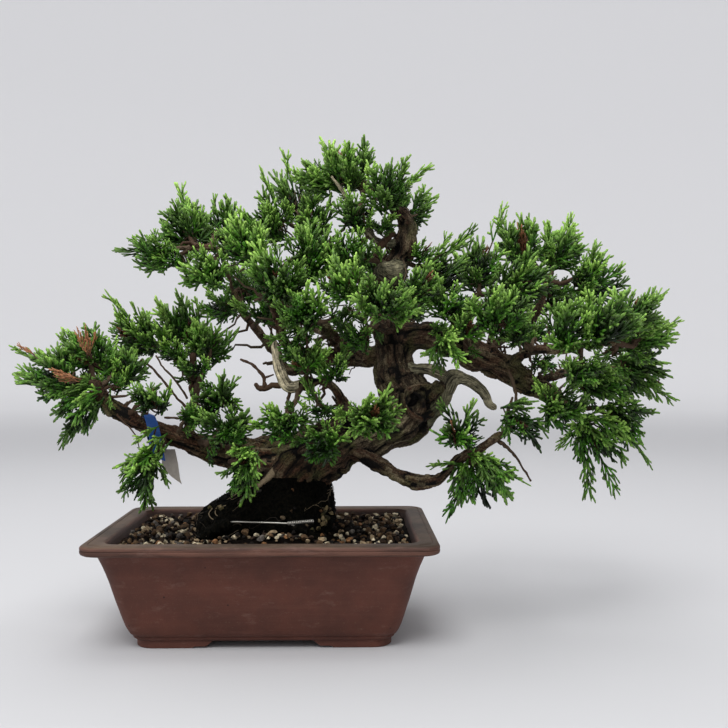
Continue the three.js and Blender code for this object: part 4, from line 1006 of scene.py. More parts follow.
def growClump(parts, twigs, clump, kinds):
    # fills one clump with sprigs, and leads a twig to it from the nearest live limb
    look, rng = foliageLook, clump.rng
    feed = crookedLine(clump.root, clump.hub, rng, 0.06 if clump.hanging else -0.06, 0.1,
                       max(4, int(clump.distance / 5)))
    shares = np.linspace(0, 1, len(feed))
    feedRadius = look["feedRadius"] * (1 + 0.016 * clump.distance)
    twigs.add(*tube(feed, feedRadius * (1.25 - 0.5 * shares), 7), [0.6, 0, rng.uniform(0.2, 0.9), 0])
    half = clump.half
    area = 4 * math.pi * (half[0] ** 2 + 2 * half[0] * half[2]) / 3
    number = max(6, round(area / look["sprigArea"] * clump.share))
    outer = [(d, rng.uniform(0.7, 1.04)) for d in evenDirections(number, rng)]
    inner = [(d, rng.uniform(0.25, 0.6)) for d in evenDirections(round(number * look["inside"]), rng)]
    flow = unit(clump.middle - look["heart"])
    rise = np.array([0, 0, -0.35 if clump.hanging else 0.3])
    for direction, share in outer + inner:
        direction = unit(direction + rng.normal(0, 0.25, 3))
        end = clump.middle + direction * half * share
        away = end - clump.hub
        if np.dot(unit(away), clump.outward) < -0.35 and not clump.hanging:
            continue
        ahead = unit(0.65 * unit(away) + 0.45 * flow + 0.3 * direction + rise + rng.normal(0, 0.12, 3))
        reach = min(look["sprigLength"] * rng.uniform(0.65, 1.3), np.linalg.norm(away) * 1.05)
        dead = float(share < 0.7 and rng.random() < 0.16)
        width = rng.uniform(0.8, 1.1) * (1 - 0.4 * dead)
        addSprig(parts, clump, kinds, end - ahead * max(reach, 7), end, width, dead)
    for _ in range(look["feedSprigs"] if clump.distance > 12 else 1):
        base = feed[min(len(feed) - 2, int(len(feed) * rng.uniform(0.4, 0.95)))]
        ahead = unit(unit(base - clump.root) + rng.normal(0, 0.55, 3) + rise)
        addSprig(parts, clump, kinds, base + ahead, base + ahead * rng.uniform(9, 15), 0.75)


def makeTangle(twigs, hubs):
    # bare twigs that run from the limbs towards the clumps, and spurs that end in the air
    look, rng = tangleLook, np.random.default_rng(77)
    thin, thick = look["radius"]
    live = np.flatnonzero(openLimbs(7) & (woodGrain.at[:, 2] > 100))
    for _ in range(look["twigs"]):
        start = woodGrain.at[rng.choice(live)]
        away = np.linalg.norm(hubs - start, axis=1)
        near = np.flatnonzero((away > look["shortest"]) & (away < look["longest"]))
        if not len(near):
            continue
        end = start + (hubs[rng.choice(near)] - start) * rng.uniform(0.6, 1.0) + rng.normal(0, 3, 3)
        line = crookedLine(start, end, rng, rng.uniform(-0.1, 0.1), 0.12, 6)
        radii = rng.uniform(thin, thick) * np.linspace(1.3, 0.5, 7)
        twigs.add(*tube(line, radii, 4), [0.4, 0, rng.uniform(0.1, 1), 0])
    for _ in range(look["spurs"]):
        at = rng.choice(live)
        out = unit(rng.normal(0, 1, 3) + [0, 0, 0.3])
        out = unit(out - 0.7 * np.dot(out, unit(woodGrain.at[at] - woodGrain.at[at - 1])))
        start = woodGrain.at[at] + out * woodGrain.radius[at] * 0.6
        length = look["spurLength"] * rng.uniform(0.3, 1.3) + woodGrain.radius[at] * 0.4
        line = crookedLine(start, start + out * length, rng, 0, 0.16, 4)
        radius = look["spurRadius"] * rng.uniform(0.5, 1.3)
        twigs.add(*tube(line, radius * np.linspace(1.5, 0.6, 5), 5), [0.6, 0, rng.uniform(0, 0.8), 0])
    for knots in bareTwigs:
        line, radii = smoothLine(knots, 1.6)
        line = line + rng.normal(0, 0.14, line.shape)
        radii = radii * rng.uniform(0.8, 1.2, len(line))
        twigs.add(*tube(line, radii, 6), [0.7, 0, rng.uniform(0.1, 0.7), 0])


def makeFoliage():
    rng = np.random.default_rng(11)
    kinds = [sprigKind(rng) for _ in range(foliageLook["kinds"])]
    twigs = Parts()
    hubs = []
    total = 0
    for number, (name, spray) in enumerate(sprays.items()):
        parts = Parts()
        whole = spray + fillers.get(name, [])
        clumps = [Clump(clump, name, np.random.default_rng([number, place]))
                  for place, clump in enumerate(whole)]
        hubs += [clump.hub for clump in clumps]
        for clump in clumps:
            growClump(parts, twigs, clump, kinds)
        for tip in np.array(loneTips.get(name, []), float):
            clump = min(clumps, key=lambda near: np.linalg.norm(near.middle - tip))
            ahead = unit(tip - clump.hub)
            reach = min(np.linalg.norm(tip - clump.hub) * 0.8, 18)
            addSprig(parts, clump, kinds, tip - ahead * reach, tip, 0.62)
        for placed, width, dead in ((brownSprigs, 0.55, 1.0), (laidSprigs, 0.7, 0.0)):
            for start, end in np.array(placed.get(name, []), float):
                addSprig(parts, clumps[0], kinds, start, end, width, dead)
        total += parts.triangles
        addPiece("foliage_" + name, parts, [foliageMaterial, twigMaterial], ["spray_" + name])
    makeTangle(twigs, np.array(hubs))
    addPiece("tree_twigs", twigs, [twigMaterial])
    print("foliage:", total, "triangles in", len(sprays), "pieces; twigs:", twigs.triangles)


makeFoliage()

# Pot. Profiles are half length and height; each From is where a value starts, over how far it runs
# and, for the painted inner shade, its most.
potLook = {
    "lengthOverDepth": 22.0, "outerCorner": 8.0, "innerCorner": 6.0, "cornerSteps": 12, "spacing": 3.5,
    "wobble": 0.3, "drainX": 32.0, "drainRadius": 7.0, "drainSides": 32, "footMiddle": [54.0, 32.0],
    "lipFrom": [45.2, 1.2], "topFrom": [50.4, 0.4], "innerShadeFrom": [50.2, 1.5, 0.8], "floorTop": 9.0,
    "skin": 0.9, "sidePoints": [37, 26],
    "outside": [
        [41, 3.7], [57, 3.7], [60.5, 3.75], [61.3, 4.4], [61.6, 5.2], [61.4, 5.6], [62.4, 6.2],
        [63.2, 7.6], [64.4, 10.5], [65.8, 15.1], [68.1, 23.2], [70.5, 32.4], [72.7, 39.4], [74.4, 44],
        [75.2, 45.2], [76.6, 45.9], [78.8, 46.2], [80, 46.5], [80.7, 47], [81, 47.8], [81, 48.5],
        [80.75, 48.8], [81, 49.1], [81, 50], [80.6, 50.6], [79.9, 50.95], [79.2, 51], [78.4, 51],
        [78.1, 50.7], [77.8, 50.7], [77.5, 51], [72.8, 50.95], [71.9, 50.6],
    ],
    "inside": [
        [71.3, 50], [70.9, 48.5], [70, 46], [68.6, 42], [62.5, 20], [59.5, 11.5], [57, 9.5], [49, 9.5],
    ],
}
# A foot's levels: how far its outline is drawn in, the height and how far its longer leg reaches
footLook = {
    "length": 120.0, "depth": 76.0, "width": 12.0, "corner": 9.0, "sideShare": 0.676,
    "levels": [[0.4, 0, 27], [0, 0.4, 27.3], [0, 0.9, 28.5], [0, 0.95, 33.5], [0, 3.7, 37], [0, 5.4, 37]],
}
potteryLook = {
    "body": "#5a3125", "dark": "#4a281e", "light": "#664034", "lip": "#553a2f", "lipTop": "#504033",
    "pale": "#786050", "pit": "#1d0f0b", "innerShade": "#2a1a14", "dust": "#7b5f56", "roughness": 0.66,
    "scuff": [16.0, 6.0], "grain": 0.7, "patch": 22.0, "streak": [38.0, 2.2], "pitsApart": 9.0,
}


def unglazedStoneware():
    # Iron-rich stoneware fired bare and wiped with a sponge: matt red-brown, sandy to the touch,
    # with level wipe streaks, a few burnt pits, a paler, rubbed lip and painted shade down the inner wall
    # below the rim.
    look = potteryLook
    material, place, values = grownMaterial("spongedBareStoneware")
    lipPlace, topPlace, innerShade = values[:3]
    grain = addNode(material, "TexNoise", {"Vector": place, "Scale": perMillimetre(look["grain"]),
                                           "Detail": 3.0})
    patch = addNode(material, "TexNoise", {"Vector": place, "Scale": perMillimetre(look["patch"]),
                                           "Detail": 4.0, "Roughness": 0.6})
    long, high = [perMillimetre(size) for size in look["streak"]]
    level = addNode(material, "Mapping", {"Vector": place, "Scale": (long, long, high)})
    streak = addNode(material, "TexNoise", {"Vector": level, "Scale": 1.0, "Detail": 4.0, "Roughness": 0.7})
    tone = addNode(material, "MapRange", {"Value": patch, "From Min": 0.36, "From Max": 0.66})
    body = addNode(material, "MixRGB", {"Fac": tone, "Color1": linear(look["dark"]),
                                        "Color2": linear(look["body"])})
    wiped = addNode(material, "MapRange", {"Value": streak, "From Min": 0.5, "From Max": 0.75,
                                           "To Max": 0.3})
    streaked = addNode(material, "MixRGB", {"Fac": wiped, "Color1": body, "Color2": linear(look["light"])})
    lipShare = addNode(material, "Math", {0: lipPlace, 1: 0.75}, operation="MULTIPLY")
    lip = addNode(material, "MixRGB", {"Fac": lipShare, "Color1": streaked, "Color2": linear(look["lip"])})
    top = addNode(material, "MixRGB", {"Fac": topPlace, "Color1": lip, "Color2": linear(look["lipTop"])})
    rubbed = addNode(material, "MapRange", {"Value": grain, "From Min": 0.62, "From Max": 0.8,
                                            "To Max": 0.35})
    lift = addNode(material, "MapRange", {"Value": streak, "From Min": 0.38, "From Max": 0.62,
                                          "To Min": -0.42, "To Max": 0.42})
    uneven = addNode(material, "Math", {0: lift, 1: lipPlace, 2: 1.0}, operation="MULTIPLY_ADD")
    handled = addNode(material, "VectorMath", {0: top, "Scale": uneven}, operation="SCALE")
    long, high = [perMillimetre(size) for size in look["scuff"]]
    swept = addNode(material, "Mapping", {"Vector": place, "Scale": (long, long, high),
                                          "Rotation": (0, 0.2, 0)})
    scuffs = addNode(material, "TexNoise", {"Vector": swept, "Scale": 1.0, "Detail": 5.0,
                                            "Roughness": 0.75})
    scuffed = addNode(material, "MapRange", {"Value": scuffs, "From Min": 0.56, "From Max": 0.72,
                                             "To Max": 0.4})
    dusty = addNode(material, "MixRGB", {"Fac": scuffed, "Color1": handled, "Color2": linear(look["dust"])})
    sandy = addNode(material, "MixRGB", {"Fac": rubbed, "Color1": dusty, "Color2": linear(look["pale"])})
    pits = addNode(material, "TexVoronoi", {"Vector": place, "Scale": perMillimetre(look["pitsApart"])})
    pit = addNode(material, "MapRange", {"Value": pits, "From Min": 0.07, "From Max": 0.035})
    pitted = addNode(material, "MixRGB", {"Fac": pit, "Color1": sandy, "Color2": linear(look["pit"])})
    # painted shade: the inner wall below the rim is darkened
    colour = addNode(material, "MixRGB", {"Fac": innerShade, "Color1": pitted, "Color2": linear(look["innerShade"])})
    height = addNode(material, "Math", {0: streak, 1: 0.6, 2: grain}, operation="MULTIPLY_ADD")
    return finished(material, {"Base Color": colour, "Roughness": look["roughness"],
                               "Specular IOR Level": 0.35}, height, 0.35, 0.0003)


def roundedRing(halfLength, halfDepth, corner, z):
    # points round a rectangle with round corners, seen from above, anticlockwise
    look = potLook
    points = []
    for quarter, (sideX, sideY) in enumerate(((1, 1), (-1, 1), (-1, -1), (1, -1))):
        turn = (quarter + np.linspace(0, 1, look["cornerSteps"] + 1)) * math.pi / 2
        arc = np.stack([sideX * (halfLength - corner) + np.cos(turn) * corner,
                        sideY * (halfDepth - corner) + np.sin(turn) * corner], 1)
        points.append(arc)
        steps = look["sidePoints"][quarter % 2]
        nextX, nextY = ((-1, 1), (-1, -1), (1, -1), (1, 1))[quarter]
        turn = (quarter + 1) * math.pi / 2
        start = arc[-1]
        end = np.array([nextX * (halfLength - corner) + math.cos(turn) * corner,
                        nextY * (halfDepth - corner) + math.sin(turn) * corner])
        points.append(start + (end - start) * (np.arange(1, steps) / steps)[:, None])
    flat = np.vstack(points)
    return np.column_stack([flat, np.full(len(flat), float(z))])


def wallRing(halfLength, z, corner):
    return roundedRing(halfLength, halfLength - potLook["lengthOverDepth"], corner, z)


def potWalls():
    # the profile with points added where they are far apart, as rings from under the floor to its top
    look = potLook
    rings = []
    for profile, corner in ((look["outside"], look["outerCorner"]), (look["inside"], look["innerCorner"])):
        for at, (length, z) in enumerate(profile):
            rings.append(wallRing(length, z, corner))
            ahead = np.array(profile[min(at + 1, len(profile) - 1)]) - [length, z]
            steps = int(np.hypot(*ahead) // look["spacing"])
            for step in range(1, steps + 1):
                between = np.array([length, z]) + ahead * step / (steps + 1)
                rings.append(wallRing(between[0], between[1], corner))
    return rings


def footRings(sideX, sideY):
    # a corner foot: two legs, each flat on the ground, then a small step and a slope up to the body
    look = footLook
    rings = []
    for inset, z, reach in look["levels"]:
        x, y, corner = look["length"] / 2 - inset, look["depth"] / 2 - inset, look["corner"] - inset
        turn = np.linspace(0, math.pi / 2, 9)[:, None]
        arc = np.hstack([x - corner + np.cos(turn) * corner, y - corner + np.sin(turn) * corner])
        sideReach, wide = reach * look["sideShare"], look["width"] - inset
        outline = np.vstack([
            [[x - wide, y - sideReach], [x, y - sideReach]], arc,
            [[x - reach, y], [x - reach, y - wide], [x - wide - 2, y - wide], [x - wide, y - wide - 2]],
        ])
        ring = np.column_stack([outline * [sideX, sideY], np.full(len(outline), float(z))])
        rings.append(ring if sideX * sideY > 0 else ring[::-1])
    return rings


def withHoles(points, faces, cutters):
    # the solid less each cutter, as points and triangles
    body = temporaryObject("body", points, faces)
    tools = [temporaryObject("cutter", *cutter) for cutter in cutters]
    for tool in tools:
        cut = body.modifiers.new("hole", "BOOLEAN")
        cut.operation = "DIFFERENCE"
        cut.solver = "EXACT"
        cut.object = tool
    return readBack(body, 3, tools)


def drainHole(side):
    # a round cutter for one of the two holes, which reaches past the floor on both sides
    sides = potLook["drainSides"]
    turn = np.arange(sides) / sides * 2 * math.pi
    circle = np.stack([np.cos(turn), np.sin(turn)], 1) * potLook["drainRadius"]
    circle = circle + [side * potLook["drainX"], 0]
    return lofted([np.column_stack([circle, np.full(sides, z)]) for z in (-4.0, 16.0)])


def makePot():
    look = potLook
    parts = Parts()
    points, faces = withHoles(*lofted(potWalls()), [drainHole(-1), drainHole(1)])
    sway = smoothNoise(points / [26, 26, 9], 21) - 0.5
    parts.add(points + unit(points * [1, 1.6, 0]) * (sway * look["wobble"])[:, None], faces)
    for sideX, sideY in itertools.product((-1, 1), repeat=2):
        rings = footRings(sideX, sideY)
        middle = np.array(look["footMiddle"]) * [sideX, sideY]
        parts.add(*lofted(rings, [[*middle, rings[0][0][2]], [*middle, rings[-1][0][2]]]))
    points, faces = parts.shape()
    lip, top = [np.clip((points[:, 2] - start) / over, 0, 1)
                for start, over in (look["lipFrom"], look["topFrom"])]
    wall = np.array(look["inside"][::-1], float)
    reach = np.interp(points[:, 2], wall[:, 1], wall[:, 0]) + look["skin"]
    inside = (np.abs(points[:, 0]) < reach) & (np.abs(points[:, 1]) < reach - look["lengthOverDepth"])
    # painted shade inside the pot: darker further below the rim, down to the floor's top
    start, over, most = look["innerShadeFrom"]
    inside = inside & (points[:, 2] > look["floorTop"])
    innerShade = np.where(inside, np.clip((start - points[:, 2]) / over, 0, most), 0)
    pot = Parts()
    pot.add(points, faces, np.stack([lip, top, innerShade, np.zeros(len(points))], 1))
    addPiece("pot_stoneware", pot, [unglazedStoneware()], ["pot"], 38)
    print("pot:", pot.triangles, "triangles")


makePot()

# Soil and the grains on it. The heap is x, y, height and reach, the bank x, y, rise, half length and half
# depth, and the mound's foot is the middle, half length, half depth and share that are kept clear of grains.
soilLook = {
    "level": 46.0, "heap": [27.0, 2.0, 12.0, 15.0], "bank": [1.0, -37.0, 5.5, 27.0, 9.0], "edgeRise": 1.9,
    "edgeFrom": [46, 32], "edgeOver": [16, 11], "sunk": 1.6, "gap": 0.3, "shares": 30, "lump": 1.6,
    "top": 45.9, "reach": [69, 47.5], "moundFoot": [-1.5, 35.0, 31.0, 0.93], "firstLayer": 0.55,
    "closest": 0.4, "grains": 960, "smallest": 2.6, "largest": 6.0, "kinds": 12, "layerRise": 1.3,
}
# Each colour of grain and its share
grainColours = [
    ["#d0c2a4", 0.15], ["#988468", 0.17], ["#57432f", 0.2], ["#33251b", 0.2], ["#16110d", 0.2],
    ["#5c5650", 0.06], ["#86603f", 0.02],
]
grainLook = {"pore": 0.45, "patch": 1.6, "roughness": 0.86}
darkSoilLook = {"dark": "#070504", "brown": "#1c140e", "crumb": 1.4, "roughness": 0.95}


def porousGrains():
    # Broken pumice and lava: dull, pitted faces, each grain of its own colour from cream to near black.
    look = grainLook
    material = newMaterial("brokenPumiceAndLava")
    growth = addNode(material, "Attribute", attribute_name="growth")
    place = addNode(material, "TexCoord").outputs["Object"]
    pores = addNode(material, "TexNoise", {"Vector": place, "Scale": perMillimetre(look["pore"]),
                                           "Detail": 2.0})
    patch = addNode(material, "TexNoise", {"Vector": place, "Scale": perMillimetre(look["patch"]),
                                           "Detail": 3.0})
    shade = addNode(material, "MapRange", {"Value": patch, "From Min": 0.3, "From Max": 0.7, "To Min": 0.35,
                                           "To Max": 1.5})
    colour = addNode(material, "VectorMath", {0: growth, "Scale": shade}, operation="SCALE")
    return finished(material, {"Base Color": colour, "Roughness": look["roughness"],
                               "Specular IOR Level": 0.2}, pores, 0.9, 0.0006)


def dampSoil(name, look):
    # Fine damp crumbs between the grains, nearly black where they are wettest.
    material = newMaterial(name)
    place = addNode(material, "TexCoord").outputs["Object"]
    crumbs = addNode(material, "TexNoise", {"Vector": place, "Scale": perMillimetre(look["crumb"]),
                                            "Detail": 4.0, "Roughness": 0.7})
    share = addNode(material, "MapRange", {"Value": crumbs, "From Min": 0.42, "From Max": 0.72})
    colour = addNode(material, "MixRGB", {"Fac": share, "Color1": linear(look["dark"]),
                                          "Color2": linear(look["brown"])})
    return finished(material, {"Base Color": colour, "Roughness": look["roughness"],
                               "Specular IOR Level": 0.06}, crumbs, 1.0, 0.0016)


def soilHeight(points):
    x, y, height, reach = soilLook["heap"]
    away = np.hypot(points[:, 0] - x, points[:, 1] - y) / reach
    edge = np.clip(((np.abs(points[:, :2]) - soilLook["edgeFrom"]) / soilLook["edgeOver"]).max(1), 0, 1)
    x, y, rise, long, deep = soilLook["bank"]
    beside = np.hypot((points[:, 0] - x) / long, (points[:, 1] - y) / deep)
    bank = rise * np.exp(-beside ** 4)
    return soilLook["level"] + height * np.exp(-away * away) + soilLook["edgeRise"] * edge + bank


def roughBall(fineness):
    # the points and triangles of a ball of few faces
    ball = bmesh.new()
    bmesh.ops.create_icosphere(ball, subdivisions=fineness, radius=1.0)
    points = np.array([corner.co[:] for corner in ball.verts])
    faces = np.array([[corner.index for corner in face.verts] for face in ball.faces])
    ball.free()
    return points, faces


def brokenBall(ball, rng):
    # a ball cut by a few planes and squashed, like a broken stone
    points = ball.copy()
    for _ in range(rng.integers(6, 10)):
        cut = unit(rng.normal(0, 1, 3))
        over = np.maximum(points @ cut - rng.uniform(0.34, 0.68), 0)
        points = points - over[:, None] * cut
    return points * [1, rng.uniform(0.72, 0.95), rng.uniform(0.6, 0.85)]


def turned(rng):
    # a random turn as a matrix
    first = unit(rng.normal(0, 1, 3))
    side, other = crossPair(first)
    return np.stack([first, side, other])


def makeSoil():
    look = soilLook
    rng = np.random.default_rng(31)
    corner = potLook["innerCorner"]
    rings = [wallRing(length - look["gap"], z, corner)
             for length, z in potLook["inside"][-2::-1] if z < look["top"]]
    rings[0][:, 2] += look["gap"]
    edge = wallRing(70 - look["gap"] + 0.2, look["level"], corner)
    for share in 1 - np.linspace(0, 0.97, look["shares"]):
        rings.append(edge * [share, share, 1])
    points, faces = lofted(rings)
    top = np.arange(len(points)) >= (len(rings) - look["shares"]) * len(edge)
    top[-2] = False
    lumps = (smoothNoise(points / 2.6, 32) - 0.5) * look["lump"]
    points[:, 2] = np.where(top, soilHeight(points) - look["sunk"] + lumps, points[:, 2])
    parts = Parts()
    parts.add(points, faces, [0, 0, 0, 1])
    ball, ballFaces = roughBall(2)
    kinds = [brokenBall(ball, rng) for _ in range(look["kinds"])]
    shares = np.array([share for _, share in grainColours])
    colours = np.array([linear(name) for name, _ in grainColours])
    laid, tries = [], 0
    middle, long, deep, clear = look["moundFoot"]
    while len(laid) < look["grains"] and tries < look["grains"] * 30:
        tries += 1
        size = look["smallest"] + (look["largest"] - look["smallest"]) * rng.random() ** 1.8
        x, y = rng.uniform(-1, 1, 2) * (np.array(look["reach"]) - size / 2)
        if math.hypot((x - middle) / long, y / deep) < clear:
            continue
        layer = len(laid) > look["grains"] * look["firstLayer"]
        near = [math.hypot(other[0] - x, other[1] - y) < (other[2] + size) * look["closest"]
                for other in laid if other[3] == layer]
        if not any(near):
            laid.append([x, y, size, layer])
    for x, y, size, layer in laid:
        height = soilHeight(np.array([[x, y]]))[0] - look["sunk"] * 0.4
        height = height + layer * look["layerRise"] + rng.normal(0, 0.35)
        shape = kinds[rng.integers(len(kinds))] @ turned(rng) * [1, 1, 0.85] * size / 2
        colour = colours[rng.choice(len(colours), p=shares / shares.sum())].copy()
        colour[:3] *= rng.uniform(0.75, 1.2)
        parts.add(shape + [x, y, height], ballFaces, colour, 1)
    materials = [dampSoil("dampSoilCrumbs", darkSoilLook), porousGrains()]
    addPiece("soil_grains", parts, materials, ["soil"], 30)
    print("soil:", len(laid), "grains,", parts.triangles, "triangles")
    return kinds, ballFaces


grainShapes, grainFaces = makeSoil()

# Mound of muck and fine roots. Rings are height, middle, half length and half depth; clumps of moss are
# x, y, z and number of crumbs; lumps of muck are x, y, z and radius; roots are as the limbs.
moundLook = {
    "sides": 150, "rise": 2.8, "lump": 3.4, "fine": 1.7, "crumbs": 520, "rootCount": 34,
    "rootRadius": 0.13, "grainCount": 26,
    "mossClumps": [[27.8, -16.8, 55.4, 22], [22.6, -22.6, 50.6, 12], [-22.9, -18.4, 60.9, 7]],
    "muckLumps": [
        [-18, -29.5, 56, 2.6], [-22, -26.5, 54, 3.2], [-26, -21, 51, 3.4], [-29, -17, 48, 3],
        [15, -32, 54.5, 2.2], [17.5, -31, 52.5, 2.6], [21, -27, 49.5, 3.2], [24, -23.5, 47, 3],
        [15, -28.4, 54, 2.8], [18, -27, 51.6, 3.2], [-18, -27, 55.6, 2.8],
    ],
    "rings": [
        [20, 0, 25, 21], [34, 0, 33, 28], [47, -1.5, 35, 31], [56, -1.5, 34.5, 30], [61, 1, 31.5, 27.5],
        [65, 4, 28, 25], [69, 7.5, 24, 22], [73, 9.5, 21, 20], [76.2, 10, 17, 16],
    ],
    "roots": [
        [[4, -11, 80, 2.2], [0.5, -14.6, 76, 1.8], [-3, -16.4, 73.4, 1.3], [-5.8, -17.6, 70.6, 0.7]],
        [
            [-4, -15.5, 73.6, 0.35], [-9, -15.6, 71.6, 0.3], [-13.5, -13.5, 69.4, 0.22],
            [-17, -12, 66.8, 0.18],
        ],
        [
            [-17, -17.4, 63.4, 0.3], [-21, -17.6, 62.8, 0.26], [-25, -16.6, 60.4, 0.24],
            [-24, -19.6, 58.6, 0.2], [-20, -22.4, 58.8, 0.16],
        ],
        [
            [-27, -13.4, 61.2, 0.28], [-28.5, -14.6, 59, 0.24], [-26.6, -18.4, 57, 0.2],
            [-21.4, -22.8, 56.6, 0.16],
        ],
    ],
    "mossSpread": [2.8, 0.5, 2.4],
}
muckLook = {"dark": "#020302", "brown": "#1a1710", "crumb": 1.3, "roughness": 0.95}
mossColours = ["#6f6145", "#534b2e", "#857656", "#3b3722"]
rootLook = {"brown": "#241a12", "pale": "#87775c", "fibre": 0.8, "roughness": 0.75}


def fineRoots():
    # Fine roots, dusty brown to straw.
    look = rootLook
    material, place, values = grownMaterial("dryFineRoots")
    paleness = values[2]
    noise = addNode(material, "TexNoise", {"Vector": place, "Scale": perMillimetre(look["fibre"]),
                                           "Detail": 3.0})
    share = addNode(material, "Math", {0: paleness, 1: noise}, operation="MULTIPLY")
    double = addNode(material, "Math", {0: share, 1: 1.8}, operation="MULTIPLY")
    colour = addNode(material, "MixRGB", {"Fac": double, "Color1": linear(look["brown"]),
                                          "Color2": linear(look["pale"])})
    return finished(material, {"Base Color": colour, "Roughness": look["roughness"]}, noise, 0.5, 0.0003)


def moundPoint(turn, level):
    # a point of the mound's side, by its turn round the middle and its height
    rows = np.array(moundLook["rings"], float)
    middle, wide, deep = [np.interp(level, rows[:, 0], rows[:, column]) for column in (1, 2, 3)]
    return np.stack([middle + np.cos(turn) * wide, np.sin(turn) * deep, level + 0 * turn], -1)


def makeMound():
    look = moundLook
    rng = np.random.default_rng(41)
    # rings lie far apart down in the soil and close together above it
    heights = np.concatenate([np.arange(20, 44, 4.0), np.arange(44, 76.3, 1.15), [76.2]])
    turns = np.arange(look["sides"]) / look["sides"] * 2 * math.pi
    points, faces = lofted([moundPoint(turns, np.full(look["sides"], height)) for height in heights])
    outward = unit(points * [1, 1, 0] + [0, 0, 6])
    lumps = (smoothNoise(points / look["lump"], 42) - 0.5) * look["rise"]
    fine = (smoothNoise(points / 1.5, 43) - 0.5) * look["fine"]
    points = points + outward * (lumps + fine - 0.3)[:, None]
    parts = Parts()
    parts.add(points, faces)
    for _ in range(look["rootCount"]):
        turn, level = rng.uniform(0, 2 * math.pi), rng.uniform(50, 74)
        steps = rng.integers(8, 16)
        way = np.cumsum(np.column_stack([rng.normal(0, 0.035, steps) + rng.choice([-0.05, 0.05]),
                                         rng.normal(-0.7, 1.1, steps)]), 0)
        levels = np.clip(level + way[:, 1], 47, 76)
        line = moundPoint(turn + way[:, 0], levels)
        line = line + unit(line * [1, 1, 0]) * rng.uniform(0.1, 0.9, steps)[:, None]
        radii = look["rootRadius"] * rng.uniform(0.6, 1.6) * np.linspace(1.1, 0.6, steps)
        parts.add(*tube(line, radii, 4), [0, 0, rng.random() ** 2, 0], 1)
    ball, ballFaces = roughBall(1)
    for _ in range(look["crumbs"]):
        place = moundPoint(rng.uniform(0, 2 * math.pi), rng.uniform(46, 76))
        crumb = brokenBall(ball, rng) @ turned(rng) * rng.uniform(0.4, 1.3)
        parts.add(crumb + place, ballFaces)
    for _ in range(look["grainCount"]):
        place = moundPoint(rng.uniform(0, 2 * math.pi), rng.uniform(50, 72))
        shape = grainShapes[rng.integers(len(grainShapes))] @ turned(rng) * rng.uniform(1.0, 2.0)
        colour = np.array(linear(grainColours[rng.integers(len(grainColours))][0]))
        colour[:3] *= 0.4
        parts.add(shape + place, grainFaces, colour, 2)
    for x, y, z, number in look["mossClumps"]:
        for _ in range(number):
            crumb = grainShapes[rng.integers(len(grainShapes))] @ turned(rng) * rng.uniform(1.0, 2.4)
            along, deep, high = rng.normal(0, 1, 3) * look["mossSpread"]
            turn = math.atan2(y, x - 1) + along / 27
            place = moundPoint(turn, min(z + high, 75)) + [0, deep, 0]
            parts.add(crumb + place, grainFaces, linear(mossColours[rng.integers(len(mossColours))]), 2)
    ball, ballFaces = roughBall(3)
    for x, y, z, radius in look["muckLumps"]:
        lump = ball * radius * (0.8 + 0.5 * smoothNoise(ball * 2.2 + [x, y, z], 44))[:, None]
        parts.add(lump + [x, y, z], ballFaces)
    for knots in look["roots"]:
        line, radii = smoothLine(knots, 1.0)
        parts.add(*tube(line, radii, 8), [0, 0, 1.0, 0], 1)
    materials = [dampSoil("wetMuck", muckLook), fineRoots(), porousGrains()]
    addPiece("mound_muck", parts, materials, ["mound"])
    print("mound:", parts.triangles, "triangles")


makeMound()

# Tie wire: the whole route, and the two ends twisted round each other
wireLook = {
    "radius": 0.42, "sides": 10, "spacing": 1.5, "turns": 6.0, "pair": 0.6, "twistRadius": 0.38,
    "twistSides": 8, "twistSteps": 46,
}
wireRoute = [
    [12, -33, 57], [4, -33.4, 57.4], [-6, -32.6, 57.6], [-16, -29.6, 57.2], [-24, -24.6, 55],
    [-29, -16, 47], [-31, -6, 34], [-31, -1, 20], [-31, -1, 4.6], [-29, -1, 2.9], [29, -1, 2.9],
    [31, -1, 4.6], [31, -1, 20], [29, -8, 34], [23, -24, 47], [17, -31.5, 54], [12, -33, 57],
]
wireTwist = [[11, -33.1, 57.1], [23, -31, 57.8]]
metalLook = {"colour": "#b3b0a8", "roughness": 0.4, "drawn": 0.25}


def drawnAluminium():
    # Soft aluminium wire, bright from the die, with fine lines along it.
    look = metalLook
    material = newMaterial("drawnAluminiumWire")
    place = addNode(material, "TexCoord").outputs["Object"]
    lines = addNode(material, "TexNoise", {"Vector": place, "Scale": perMillimetre(look["drawn"]),
                                           "Detail": 2.0})
    rough = addNode(material, "MapRange", {"Value": lines, "To Min": look["roughness"] - 0.08,
                                           "To Max": look["roughness"] + 0.12})
    return finished(material, {"Roughness": rough, "Base Color": linear(look["colour"]),
                               "Metallic": 1.0}, lines, 0.15, 0.0001)


def makeWire():
    look = wireLook
    parts = Parts()
    line, _ = smoothLine([[*knot, 1] for knot in wireRoute], look["spacing"])
    parts.add(*tube(line, look["radius"], look["sides"]))
    start, end = np.array(wireTwist, float)
    ahead = unit(end - start)
    across, up = crossPair(ahead)
    shares = np.linspace(0, 1, look["twistSteps"])
    for flip in (0, math.pi):
        turn = shares * look["turns"] * 2 * math.pi + flip
        around = across * np.cos(turn)[:, None] + up * np.sin(turn)[:, None]
        line = start + (end - start) * shares[:, None] + around * look["pair"]
        parts.add(*tube(line, look["twistRadius"], look["twistSides"]))
    addPiece("tie_wire_round", parts, [drawnAluminium()], ["tie_wire"])
    print("wire:", parts.triangles, "triangles")


makeWire()

# Tag and screens: the part's own bodies, with the look of what they are made of: its name, two colours,
# the size of its clouds and its roughness
plainLooks = {
    "tag_band": ["smoothWovenTape", "#2b62b8", "#234f9a", 0.5, 0.55],
    "tag_tail": ["wornPaperLabel", "#b9b1a4", "#98908a", 1.6, 0.7],
    "screen_left": ["mouldedMeshPlastic", "#191b1d", "#222528", 0.8, 0.5],
    "screen_right": ["mouldedMeshPlastic", "#191b1d", "#222528", 0.8, 0.5],
}


